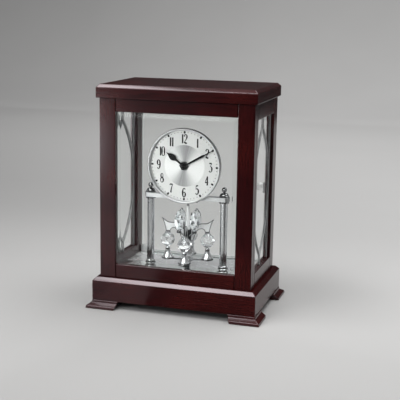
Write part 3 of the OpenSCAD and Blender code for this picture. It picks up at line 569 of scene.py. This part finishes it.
def dial_finish():
    """Silver dial: a fine matt ring, and a middle brushed in rays, with painted shade turning them dark at
    the top and the foot.
    """
    settings = bpy.context.scene.clock_dial
    silver = tuple(settings.silver)
    ring_silver = tuple(settings.ring_silver)
    shade = tuple(settings.sunray_dark)

    def build(mat):
        centred = placed(mat, location=-DIAL_CENTRE)
        flat = step(mat, "ShaderNodeVectorMath", {0: centred, 1: (1, 0, 1)}, operation="MULTIPLY").outputs[0]
        radius = step(mat, "ShaderNodeVectorMath", {0: flat}, operation="LENGTH").outputs["Value"]
        ray = step(mat, "ShaderNodeVectorMath", {0: flat}, operation="NORMALIZE").outputs[0]
        parts = step(mat, "ShaderNodeSeparateXYZ", {0: ray}).outputs
        # Painted shade: the rays turn dark towards the top and the foot of the dial
        lean = math_step(mat, "ADD", parts["Z"], math_step(mat, "MULTIPLY", parts["X"], 0.12))
        upright = math_step(mat, "POWER", math_step(mat, "ABSOLUTE", lean), 5.0)
        streaks = noise(mat, ray, 16.0, detail=6.0, roughness=0.7)
        depth = math_step(mat, "MULTIPLY", upright, spread(mat, streaks, 0.55, 1.25))
        rays = mix_colour(mat, math_step(mat, "MINIMUM", depth, 1.0), silver, shade)
        fine = mix_colour(mat, spread(mat, streaks, 0.0, 0.16), rays, shade)
        matt = noise(mat, centred, 2600.0, detail=2.0)
        ring = ramp(mat, matt, (0.3, scaled(ring_silver, 0.86)), (0.7, ring_silver))
        middle = math_step(mat, "LESS_THAN", radius, settings.sunray_r)
        return {
            "Base Color": mix_colour(mat, middle, ring, fine),
            "Roughness": spread(mat, streaks, 0.3, 0.46),
            "Normal": bump(mat, matt, 0.1, 0.02 * MM),
        }

    return finish("rayed_silver", silver, {"Metallic": 0.25}, build)


def ink_finish(name, colour):
    """Printed ink."""
    colour = tuple(colour)

    def build(mat):
        patch = noise(mat, placed(mat), 700.0)
        return {
            "Base Color": ramp(mat, patch, (0.3, colour), (0.7, scaled(colour, 1.3))),
            "Roughness": spread(mat, patch, 0.5, 0.65),
        }

    return finish(name, colour, {"IOR": 1.2}, build)


def sleeve_finish():
    """Plain grey battery sleeve with bare steel at both ends."""
    low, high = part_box("battery")

    def build(mat):
        parts = step(mat, "ShaderNodeSeparateXYZ", {0: placed(mat)}).outputs
        rim = 2.2 * MM
        start = math_step(mat, "LESS_THAN", parts["X"], low.x + rim)
        end = math_step(mat, "GREATER_THAN", parts["X"], high.x - rim)
        bare = math_step(mat, "MAXIMUM", start, end)
        scuff = noise(mat, placed(mat, scale=(0.3, 1.0, 1.0)), 500.0)
        sleeve = ramp(mat, scuff, (0.35, (0.16, 0.17, 0.19)), (0.65, (0.2, 0.21, 0.23)))
        return {
            "Base Color": mix_colour(mat, bare, sleeve, (0.62, 0.63, 0.65)),
            "Metallic": bare,
            "Roughness": spread(mat, scuff, 0.28, 0.4),
        }

    return finish("battery_sleeve", (0.18, 0.19, 0.21), {}, build)


def copy_of(node):
    """Mesh of a CAD node as whole faces: its loose triangles merged, and flat neighbours joined."""
    bm = bmesh.new()
    bm.from_mesh(frame["nodes"][node].data)
    flat = math.radians(0.5)
    bmesh.ops.remove_doubles(bm, verts=bm.verts, dist=MERGE)
    bmesh.ops.dissolve_limit(bm, angle_limit=flat, verts=bm.verts, edges=bm.edges)
    bmesh.ops.recalc_face_normals(bm, faces=bm.faces)
    return bm


def sharp_edges(bm, angle):
    limit = math.radians(angle)
    return [edge for edge in bm.edges if edge.is_manifold and edge.calc_face_angle(0) > limit]


def ease(bm, width, segments, angle=40.0):
    """Rounds or breaks the edges sharper than an angle."""
    bmesh.ops.bevel(
        bm, geom=sharp_edges(bm, angle), offset=width, offset_type="OFFSET", affect="EDGES",
        segments=segments, profile=0.5, clamp_overlap=True, material=-1)


def mesh_object(name, bm, materials):
    """Object from a bmesh, which is used up."""
    mesh = bpy.data.meshes.new(name)
    bm.to_mesh(mesh)
    bm.free()
    for mat in materials:
        mesh.materials.append(mat)
    obj = bpy.data.objects.new(name, mesh)
    bpy.context.scene.collection.objects.link(obj)
    return obj


def piece(name, bm, materials, body, replaces=(), crease=30.0):
    """Piece from a bmesh: smooth but for its creases, riding on a body and standing for CAD nodes."""
    for face in bm.faces:
        face.smooth = True
    for edge in sharp_edges(bm, crease):
        edge.smooth = False
    obj = mesh_object(name, bm, materials)
    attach(obj, body)
    if replaces:
        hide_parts(*replaces)
    return obj


def body_of(node):
    return frame["nodes"][node]["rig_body"]


def eased_piece(node, mat, width, segments=1, crease=30.0):
    """Copy of a CAD node with eased edges, in its place."""
    bm = copy_of(node)
    if width:
        ease(bm, width, segments)
    return piece(f"{node}_finished", bm, [mat], body_of(node), [node], crease)


def spun(profile, centre, axis, steps):
    """Solid of revolution about an axis through a point, from a closed profile of points."""
    bm = bmesh.new()
    verts = [bm.verts.new(point) for point in profile]
    edges = [bm.edges.new((verts[i - 1], verts[i])) for i in range(len(verts))]
    bmesh.ops.spin(
        bm, geom=verts + edges, cent=centre, axis=axis, angle=2 * math.pi, steps=steps, use_merge=True)
    bmesh.ops.remove_doubles(bm, verts=bm.verts, dist=FINE_MERGE)
    bmesh.ops.recalc_face_normals(bm, faces=bm.faces)
    return bm


def pen_strokes(strokes):
    """Mesh of pen strokes, made as round curves of varying width in the plane z = 0."""
    pen_weight = 1.65
    curve = bpy.data.curves.new("pen", "CURVE")
    curve.dimensions = "3D"
    curve.bevel_depth = 1.0
    curve.bevel_resolution = 1
    curve.resolution_u = 5
    curve.use_fill_caps = True
    for kind, points in strokes:
        spline = curve.splines.new("BEZIER")
        spline.use_cyclic_u = kind == RING
        spline.bezier_points.add(len(points) - 1)
        for point, (across, up, radius) in zip(spline.bezier_points, points):
            point.co = (across, up, 0)
            point.radius = pen_weight * radius
            point.handle_left_type = point.handle_right_type = "VECTOR" if kind == STRAIGHT else "AUTO"
    pen = bpy.data.objects.new("pen", curve)
    bpy.context.scene.collection.objects.link(pen)
    evaluated = pen.evaluated_get(bpy.context.evaluated_depsgraph_get())
    mesh = bpy.data.meshes.new_from_object(evaluated)
    bpy.data.objects.remove(pen)
    bpy.data.curves.remove(curve)
    return mesh


def on_dial(radius, minute, lift):
    """Point on the dial's face at a radius and a minute of the hour, a little in front of the face."""
    angle = math.radians(6 * minute)
    return DIAL_CENTRE + Vector((radius * math.sin(angle), -lift, radius * math.cos(angle)))


class CLOCK_OT_wood(bpy.types.Operator):
    """Ease the edges of the wood members and give each its grain"""

    bl_idname = "clock.wood"
    bl_label = "Wood case"

    def execute(self, context):
        width = context.scene.clock_case.edge_round
        for axis, nodes in (("x", WOOD_ACROSS), ("y", WOOD_DEEP), ("z", WOOD_UPRIGHT)):
            for node in nodes:
                member = eased_piece(node, wood_finish(axis), width, segments=3, crease=50.0)
                member.modifiers.new("flat_faces", "WEIGHTED_NORMAL").keep_sharp = True
                if "rail" in node:
                    self.darken_ends(member.data, "xyz".index(axis), width)
        return {"FINISHED"}

    def darken_ends(self, rail, axis, width):
        """Darkens the eased ends of a rail, which meet the stiles in a fine dark line."""
        rail.materials.append(joint_finish())
        places = [vert.co[axis] for vert in rail.vertices]
        for face in rail.polygons:
            if not min(places) + width < face.center[axis] < max(places) - width:
                face.material_index = 1


class CLOCK_OT_panes(bpy.types.Operator):
    """Make the front, side and back panes with polished faces and ground edges"""

    bl_idname = "clock.panes"
    bl_label = "Glass panes"

    def execute(self, context):
        settings = context.scene.clock_glass
        glass = [
            pane_finish("clear_pane", settings.pane_tint), pane_finish("pane_bevel", settings.bevel_tint),
            pane_edge_finish(),
        ]
        flat, bevelled = 0.999, 0.8
        x, y = 0, 1
        panes = {"front_glass": y, "back_glass": y, "side_glass_left": x, "side_glass_right": x}
        for node, across in panes.items():
            bm = copy_of(node)
            ease(bm, 0.3 * MM, segments=1, angle=60.0)
            for face in bm.faces:
                square_on = abs(face.normal[across])
                face.material_index = 0 if square_on > flat else 1 if square_on > bevelled else 2
            piece(f"{node}_finished", bm, glass, body_of(node), [node], crease=5.0)
        return {"FINISHED"}


class CLOCK_OT_cames(bpy.types.Operator):
    """Round the lead lines of the side panes"""

    bl_idname = "clock.cames"
    bl_label = "Lead lines"

    def execute(self, context):
        for node in ("side_cames_left", "side_cames_right"):
            eased_piece(node, lead_finish(), 0.35 * MM, segments=2, crease=20.0)
        return {"FINISHED"}


class CLOCK_OT_floor_plate(bpy.types.Operator):
    """Make the mirror-bright plate on the case's floor and the pivot cup on it"""

    bl_idname = "clock.floor_plate"
    bl_label = "Floor plate and pivot cup"

    def execute(self, context):
        mirror = metal_finish("mirror_plate", "plate", 0.16, 0.26, grain=30.0, metallic=0.65)
        dark = metal_finish("darkened_steel", "cup", 0.25, 0.4, grain=300.0)
        edge = context.scene.clock_metal.edge_break
        eased_piece("floor_plate", mirror, edge)
        eased_piece("pivot_cup", dark, edge)
        return {"FINISHED"}


class CLOCK_OT_columns(bpy.types.Operator):
    """Polish the columns, their bases and knobs, and the crossbar"""

    bl_idname = "clock.columns"
    bl_label = "Columns and crossbar"

    def execute(self, context):
        edge = context.scene.clock_metal.edge_break
        satin = metal_finish("satin_chrome", "column", 0.16, 0.22, grain=30.0, scale=(4.0, 4.0, 0.5))
        # Painted shade: a darker copy of the chrome for the knobs
        turned = metal_finish("turned_chrome", "knob", 0.08, 0.14)
        for nodes, metal in ((SHAFTS, satin), (BASES, base_finish()), (KNOBS, turned),
                             (["crossbar"], bright_finish())):
            for node in nodes:
                eased_piece(node, metal, edge)
        return {"FINISHED"}


class CLOCK_OT_dial_frame(bpy.types.Operator):
    """Polish the drum behind the dial, the bezel and the nut that clamps the dial"""

    bl_idname = "clock.dial_frame"
    bl_label = "Drum and bezel"

    def execute(self, context):
        edge = context.scene.clock_metal.edge_break
        dark = metal_finish("drum_chrome", "drum", 0.15, 0.25)
        metals = {"dial_drum": dark, "bezel": bright_finish(), "movement_nut": chrome_finish()}
        for node, metal in metals.items():
            eased_piece(node, metal, edge)
        return {"FINISHED"}


class CLOCK_OT_dial(bpy.types.Operator):
    """Turn the dial plate with its grooved middle, and print the numerals and dots"""

    bl_idname = "clock.dial"
    bl_label = "Dial"

    def execute(self, context):
        settings = context.scene.clock_dial
        self.turn_plate(settings)
        ink = ink_finish("dial_ink", settings.ink)
        pale_ink = ink_finish("pale_ink", settings.pale_ink)
        hours = range(0, 60, 5)
        minutes = [minute for minute in range(60) if minute not in hours]
        self.print_numerals(ink, settings)
        self.print_dots("hour_dots", ink, settings.dot_ring, hours, settings.hour_dot, stretch=1.35)
        self.print_dots("minute_dots", pale_ink, settings.dot_ring, minutes, settings.minute_dot, stretch=1.0)
        return {"FINISHED"}

    def turn_plate(self, settings):
        bore = 4.1 * MM
        groove = 0.12 * MM
        front, back = DIAL_CENTRE.y, DIAL_HIGH.y
        line = [(bore, back), (bore, front), (settings.sunray_r - 2 * groove, front),
                (settings.sunray_r, front + groove), (settings.sunray_r + 2 * groove, front),
                (DIAL_R - groove, front), (DIAL_R, front + groove), (DIAL_R, back)]
        bm = spun([(r, y, DIAL_CENTRE.z) for r, y in line], DIAL_CENTRE, (0, 1, 0), steps=128)
        piece("dial_plate_finished", bm, [dial_finish()], "case", ["dial_plate"], crease=20.0)

    def print_numerals(self, ink, settings):
        ink_depth = 0.9 * MM
        size = settings.numeral_h
        width = 0.92 * size
        bm = bmesh.new()
        for hour in range(1, 13):
            text = str(hour)
            centre = on_dial(settings.numeral_ring, 5 * hour, 0.01 * MM)
            for digit, shift in zip(text, DIGIT_SPACING.get(text, (0,))):
                mesh = pen_strokes(DIGITS[digit])
                place = Matrix.Translation(centre) @ Matrix.Rotation(math.radians(90), 4, "X")
                place @= Matrix.Diagonal((width, size, ink_depth, 1)) @ Matrix.Translation((shift, -0.5, 0))
                mesh.transform(place)
                bm.from_mesh(mesh)
                bpy.data.meshes.remove(mesh)
        bmesh.ops.remove_doubles(bm, verts=bm.verts, dist=FINE_MERGE)
        bmesh.ops.recalc_face_normals(bm, faces=bm.faces)
        piece("numerals", bm, [ink], "case", crease=60.0)

    def print_dots(self, name, ink, ring, minutes, radius, stretch):
        ink_depth = 0.05 * MM
        bm = bmesh.new()
        for minute in minutes:
            turn = Matrix.Rotation(math.radians(6 * minute), 4, "Y")
            size = Matrix.Diagonal((radius, ink_depth, radius * stretch, 1))
            bmesh.ops.create_uvsphere(
                bm, u_segments=12, v_segments=6, radius=1.0,
                matrix=Matrix.Translation(on_dial(ring, minute, 0)) @ turn @ size)
        piece(name, bm, [ink], "case", crease=60.0)


class CLOCK_OT_hands(bpy.types.Operator):
    """Finish the hands and the cap in front of them"""

    bl_idname = "clock.hands"
    bl_label = "Hands"

    def execute(self, context):
        paint = black_finish("satin_black", (0.002, 0.002, 0.0022), 0.5, 0.6, 900.0, 0.01 * MM)
        for node in ("hour_hand", "minute_hand", "hand_cap"):
            eased_piece(node, paint, 0.08 * MM)
        return {"FINISHED"}


class CLOCK_OT_movement(bpy.types.Operator):
    """Finish the movement, its battery and knurled set knob, and the pendulum motor"""

    bl_idname = "clock.movement"
    bl_label = "Movement"

    def execute(self, context):
        for node in ("movement_case", "pendulum_motor", "door_catch"):
            eased_piece(node, plastic_finish(), 0.5 * MM, segments=2, crease=20.0)
        eased_piece("battery", sleeve_finish(), 0.3 * MM)
        self.knurl_knob()
        return {"FINISHED"}

    def knurl_knob(self):
        low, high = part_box("set_knob")
        radius = (high.x - low.x) / 2
        centre = (low + high) / 2
        centre.y = low.y
        flutes, flute_depth = 24, 0.07
        dish_rim, dish_slope, dish_depth = 0.9 * MM, 0.3 * MM, 0.4 * MM
        bm = bmesh.new()
        turn = Matrix.Translation(centre) @ Matrix.Rotation(math.radians(-90), 4, "X")
        rim = bmesh.ops.create_circle(bm, segments=4 * flutes, radius=radius, cap_ends=True, matrix=turn)
        for i, vert in enumerate(rim["verts"]):
            if i % 4 < 2:
                vert.co = vert.co.lerp(centre, flute_depth)
        grown = bmesh.ops.extrude_face_region(bm, geom=bm.faces[:])["geom"]
        top = [part for part in grown if isinstance(part, bmesh.types.BMVert)]
        bmesh.ops.translate(bm, verts=top, vec=(0, high.y - low.y, 0))
        face = [part for part in grown if isinstance(part, bmesh.types.BMFace)]
        bmesh.ops.inset_region(bm, faces=face, thickness=dish_rim, depth=0)
        bmesh.ops.inset_region(bm, faces=face, thickness=dish_slope, depth=-dish_depth)
        bmesh.ops.recalc_face_normals(bm, faces=bm.faces)
        piece("set_knob_finished", bm, [plastic_finish()], "minute_hand", ["set_knob"])


class CLOCK_OT_pendulum(bpy.types.Operator):
    """Polish the pendulum's spindle, hub, arms, caps and bells"""

    bl_idname = "clock.pendulum"
    bl_label = "Pendulum"

    def execute(self, context):
        settings = context.scene.clock_metal
        for node in ("spindle", "drop_caps", "lower_cross"):
            eased_piece(node, chrome_finish(), settings.edge_break)
        spire = metal_finish("spire_silver", "spire", 0.14, 0.2, metallic=0.25)
        hub = metal_finish("hub_silver", "hub", 0.1, 0.16, metallic=0.75)
        for node, metal in (("spire", spire), ("pendulum_hub", hub), ("bells", bell_finish())):
            eased_piece(node, metal, settings.edge_break)
        self.finish_leaves(settings.leaf_rim)
        return {"FINISHED"}

    def finish_leaves(self, width):
        """Satin plates with a darker rim of a given width and darker cut edges, both painted shade."""
        low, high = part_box("leaf_spider")
        axis = (low + high) / 2
        facing = 0.95
        bm = copy_of("leaf_spider")
        plates = []
        for face in bm.faces:
            out = (face.calc_center_median() - axis) * Vector((1, 1, 0))
            across = out.cross(Vector((0, 0, 1))).normalized()
            face.material_index = 1
            if abs(face.normal.dot(across)) > facing:
                plates.append(face)
        bmesh.ops.inset_region(bm, faces=plates, thickness=width, use_even_offset=True)
        for face in plates:
            face.material_index = 0
        plate = metal_finish("leaf_silver", "leaf", 0.28, 0.36, grain=240.0, metallic=0.4)
        # The rim and the cut edges take painted shade
        metals = [plate, metal_finish("leaf_edge", "leaf_edge", 0.3, 0.4)]
        piece("leaf_spider_finished", bm, metals, body_of("leaf_spider"), ["leaf_spider"])


class CLOCK_OT_crystals(bpy.types.Operator):
    """Cut the drop crystals and the upper crystals"""

    bl_idname = "clock.crystals"
    bl_label = "Crystals"

    def execute(self, context):
        # Steps of five round a cycle of facets scatter the facets with painted glints and those with painted
        # shade
        stride, painted_shade_place = 5, 3
        for node, cycle, painted_glints in (("drop_crystals", 13, (1,)), ("upper_crystals", 6, (1, 4))):
            bm = copy_of(node)
            bm.faces.ensure_lookup_table()
            for face in bm.faces:
                place = stride * face.index % cycle
                face.material_index = 1 if place in painted_glints else 2 if place == painted_shade_place else 0
            piece(f"{node}_finished", bm, crystal_finishes(), body_of(node), [node], crease=2.0)
        return {"FINISHED"}


class CLOCK_OT_door_fittings(bpy.types.Operator):
    """Finish the back door's pivot clamps and pull"""

    bl_idname = "clock.door_fittings"
    bl_label = "Door fittings"

    def execute(self, context):
        edge = context.scene.clock_metal.edge_break
        satin = metal_finish("satin_silver", "satin", 0.3, 0.42, grain=240.0, metallic=0.3)
        for node in ("door_clamps", "door_pull"):
            eased_piece(node, satin, edge)
        return {"FINISHED"}


class CLOCK_OT_stage(bpy.types.Operator):
    """Lay the pale floor, its curved backdrop and the mirrored cards, and place the lamps and the camera"""

    bl_idname = "clock.stage"
    bl_label = "Stage"

    def execute(self, context):
        settings = context.scene.clock_stage
        self.lay_floor(settings)
        self.lay_cards(settings)
        self.light(context.scene.world, settings)
        self.place_camera(context.scene, settings)
        context.scene.view_settings.view_transform = "Standard"
        return {"FINISHED"}

    def lay_floor(self, settings):
        colour = tuple(settings.floor_colour)

        def build(mat):
            patch = noise(mat, placed(mat), 3.0, detail=2.0)
            return {"Base Color": ramp(mat, patch, (0.3, scaled(colour, 0.97)), (0.7, colour))}

        mat = finish("pale_floor", colour, {"Roughness": 0.6, "IOR": 1.3}, build)
        half_width, front, bend, bend_r = 12.0, -12.0, 2.2, 1.4
        sweep = math.radians(46)
        bm = bmesh.new()
        start = [bm.verts.new((-half_width, front, 0)), bm.verts.new((-half_width, bend, 0))]
        bm.edges.new(start)
        bmesh.ops.spin(bm, geom=[start[1]], cent=(0, bend, bend_r), axis=(1, 0, 0), angle=sweep, steps=16)
        sheet = bmesh.ops.extrude_edge_only(bm, edges=bm.edges[:])["geom"]
        far = [part for part in sheet if isinstance(part, bmesh.types.BMVert)]
        bmesh.ops.translate(bm, verts=far, vec=(2 * half_width, 0, 0))
        bmesh.ops.remove_doubles(bm, verts=bm.verts, dist=MERGE)
        bmesh.ops.recalc_face_normals(bm, faces=bm.faces)
        if sum(face.normal.z for face in bm.faces) < 0:
            bmesh.ops.reverse_faces(bm, faces=bm.faces)
        for face in bm.faces:
            face.smooth = True
        floor = mesh_object("floor_sheet", bm, [mat])

    def lay_cards(self, settings):
        """Dark cards round the clock and a bright one on the left, so that it mirrors dark and light."""
        thick = 4 * MM
        left = Vector((-0.52, -0.27, thick))
        bright_r, edge_r = 0.1, 0.42

        def glow(mat):
            reach = step(mat, "ShaderNodeVectorMath", {0: placed(mat), 1: left}, operation="DISTANCE")
            return {"Emission Strength": spread(
                mat, reach.outputs["Value"], settings.card_glow, settings.card_edge, bright_r, edge_r)}

        dark = finish("dark_card", (0.02, 0.02, 0.021), {"Roughness": 0.9})
        white = {"Roughness": 0.9, "Emission Color": (1, 1, 1, 1)}
        bright = finish("bright_card", (0.02, 0.02, 0.02), white, glow)
        near = Matrix.Translation((-0.045, -0.1, 0)) @ Matrix.Rotation(math.radians(-14.5), 4, "Z")
        upright = Matrix.Rotation(math.radians(90), 4, "X")
        self.card("front_card", dark, near @ Matrix.Translation((3.0, -3.95, thick)), (6.0, 8.0, thick))
        self.card("rear_card", dark, Matrix.Translation((0.2, 2.0, 0.8)) @ upright, (5.0, 1.6, thick))
        self.card("right_card", dark, Matrix.Translation((1.0, -0.1, 2 * thick)), (1.24, 0.9, thick))
        self.card("left_card", bright, Matrix.Translation(left), (0.8, 0.8, thick))

    def card(self, name, mat, place, size):
        """A card that shows only in gloss."""
        bm = bmesh.new()
        bmesh.ops.create_cube(bm, size=1.0, matrix=place @ Matrix.Diagonal((*size, 1)))
        card = mesh_object(name, bm, [mat])
        card.visible_camera = False
        card.visible_diffuse = False
        card.visible_transmission = False
        card.visible_shadow = False

    def light(self, world, settings):
        world = world or bpy.data.worlds.new("studio")
        bpy.context.scene.world = world
        world.use_nodes = True
        way = step(world, "ShaderNodeTexCoord").outputs["Generated"]
        parts = step(world, "ShaderNodeSeparateXYZ", {0: way}).outputs
        low = (0.0, (0.3, 0.3, 0.305))
        back = ramp(world, parts["Z"], low, (0.5, (0.4, 0.4, 0.41)), (1.0, (0.7, 0.7, 0.7)))
        front = ramp(world, parts["Z"], low, (0.2, (0.2, 0.2, 0.205)), (0.6, (0.5, 0.5, 0.5)))
        behind = spread(world, parts["Y"], 0.0, 1.0, -0.9, 0.2)
        soft = mix_colour(world, behind, front, back)
        world.node_tree.links.new(soft, world.node_tree.nodes["Background"].inputs["Color"])
        clock, rear, backdrop = (0, 0, 0.15), (0.5, 0.25, 0), (0, 2.6, 0)
        self.lamp("top_lamp", settings.top_power, (0.9, 0.45), (-0.5, -0.5, 1.6), clock, 110)
        self.lamp("key_lamp", settings.key_power, (0.6, 0.5), (-0.62, -1.2, 0.95), clock, 70)
        self.lamp("fill_lamp", settings.fill_power, (0.8, 0.5), (0.1, -1.3, 0.95), clock, 70)
        self.lamp("side_lamp", settings.side_power, (0.2, 0.14), (-0.6, -0.85, 0.08), clock, 100)
        self.lamp("rear_lamp", settings.rear_power, (0.9, 0.9), (0.5, 0.25, 1.3), rear, 100)
        self.lamp("backdrop_lamp", settings.backdrop_power, (1.6, 0.5), (0, 0.9, 1.7), backdrop, 120)

    def lamp(self, name, power, size, place, aim, spread_angle):
        """Soft lamp of a width and depth in metres, turned from its place to its aim."""
        data = bpy.data.lights.new(name, "AREA")
        data.shape = "RECTANGLE"
        data.size, data.size_y = size
        data.energy = power
        data.spread = math.radians(spread_angle)
        lamp = bpy.data.objects.new(name, data)
        lamp.location = place
        lamp.rotation_euler = (Vector(aim) - Vector(place)).to_track_quat("-Z", "Y").to_euler()
        lamp.visible_camera = False
        bpy.context.scene.collection.objects.link(lamp)

    def place_camera(self, scene, settings):
        """Camera fitted to the corners of the case in the photograph."""
        place, turn, dip, roll = (0.3566, -1.1394, 0.3816), 16.721, 11.673, 0.888
        data = bpy.data.cameras.new("camera")
        data.lens = settings.lens
        data.sensor_width = 36.0
        camera = bpy.data.objects.new("camera", data)
        aim = Matrix.Rotation(math.radians(turn), 4, "Z") @ Matrix.Rotation(math.radians(90 - dip), 4, "X")
        tilt = Matrix.Rotation(math.radians(roll), 4, "Z")
        camera.matrix_world = Matrix.Translation(place) @ aim @ tilt
        scene.collection.objects.link(camera)
        scene.camera = camera


class CLOCK_PT_panel(bpy.types.Panel):
    """Operators and settings of the clock"""

    bl_idname = "CLOCK_PT_panel"
    bl_label = "Crystal Mantel Clock"
    bl_space_type = "VIEW_3D"
    bl_region_type = "UI"
    bl_category = "Clock"

    def draw(self, context):
        for operator in OPERATORS:
            self.layout.operator(operator.bl_idname)
        for name, group in SETTINGS.items():
            box = self.layout.box()
            settings = getattr(context.scene, name)
            for prop in group.__annotations__:
                box.prop(settings, prop)


SETTINGS = {
    "clock_case": ClockCaseSettings,
    "clock_glass": ClockGlassSettings,
    "clock_metal": ClockMetalSettings,
    "clock_dial": ClockDialSettings,
    "clock_stage": ClockStageSettings,
}
OPERATORS = [
    CLOCK_OT_wood, CLOCK_OT_panes, CLOCK_OT_cames, CLOCK_OT_floor_plate, CLOCK_OT_columns,
    CLOCK_OT_dial_frame, CLOCK_OT_dial, CLOCK_OT_hands, CLOCK_OT_movement, CLOCK_OT_pendulum,
    CLOCK_OT_crystals, CLOCK_OT_door_fittings, CLOCK_OT_stage,
]


def register():
    for cls in [*SETTINGS.values(), *OPERATORS, CLOCK_PT_panel]:
        bpy.utils.register_class(cls)
    for name, group in SETTINGS.items():
        setattr(bpy.types.Scene, name, PointerProperty(type=group))


def unregister():
    for name in SETTINGS:
        delattr(bpy.types.Scene, name)
    for cls in reversed([*SETTINGS.values(), *OPERATORS, CLOCK_PT_panel]):
        bpy.utils.unregister_class(cls)


def main():
    register()
    bpy.ops.clock.stage()
    bpy.ops.clock.wood()
    bpy.ops.clock.panes()
    bpy.ops.clock.cames()
    bpy.ops.clock.floor_plate()
    bpy.ops.clock.columns()
    bpy.ops.clock.dial_frame()
    bpy.ops.clock.dial()
    bpy.ops.clock.hands()
    bpy.ops.clock.movement()
    bpy.ops.clock.pendulum()
    bpy.ops.clock.crystals()
    bpy.ops.clock.door_fittings()


if __name__ == "__main__":
    main()
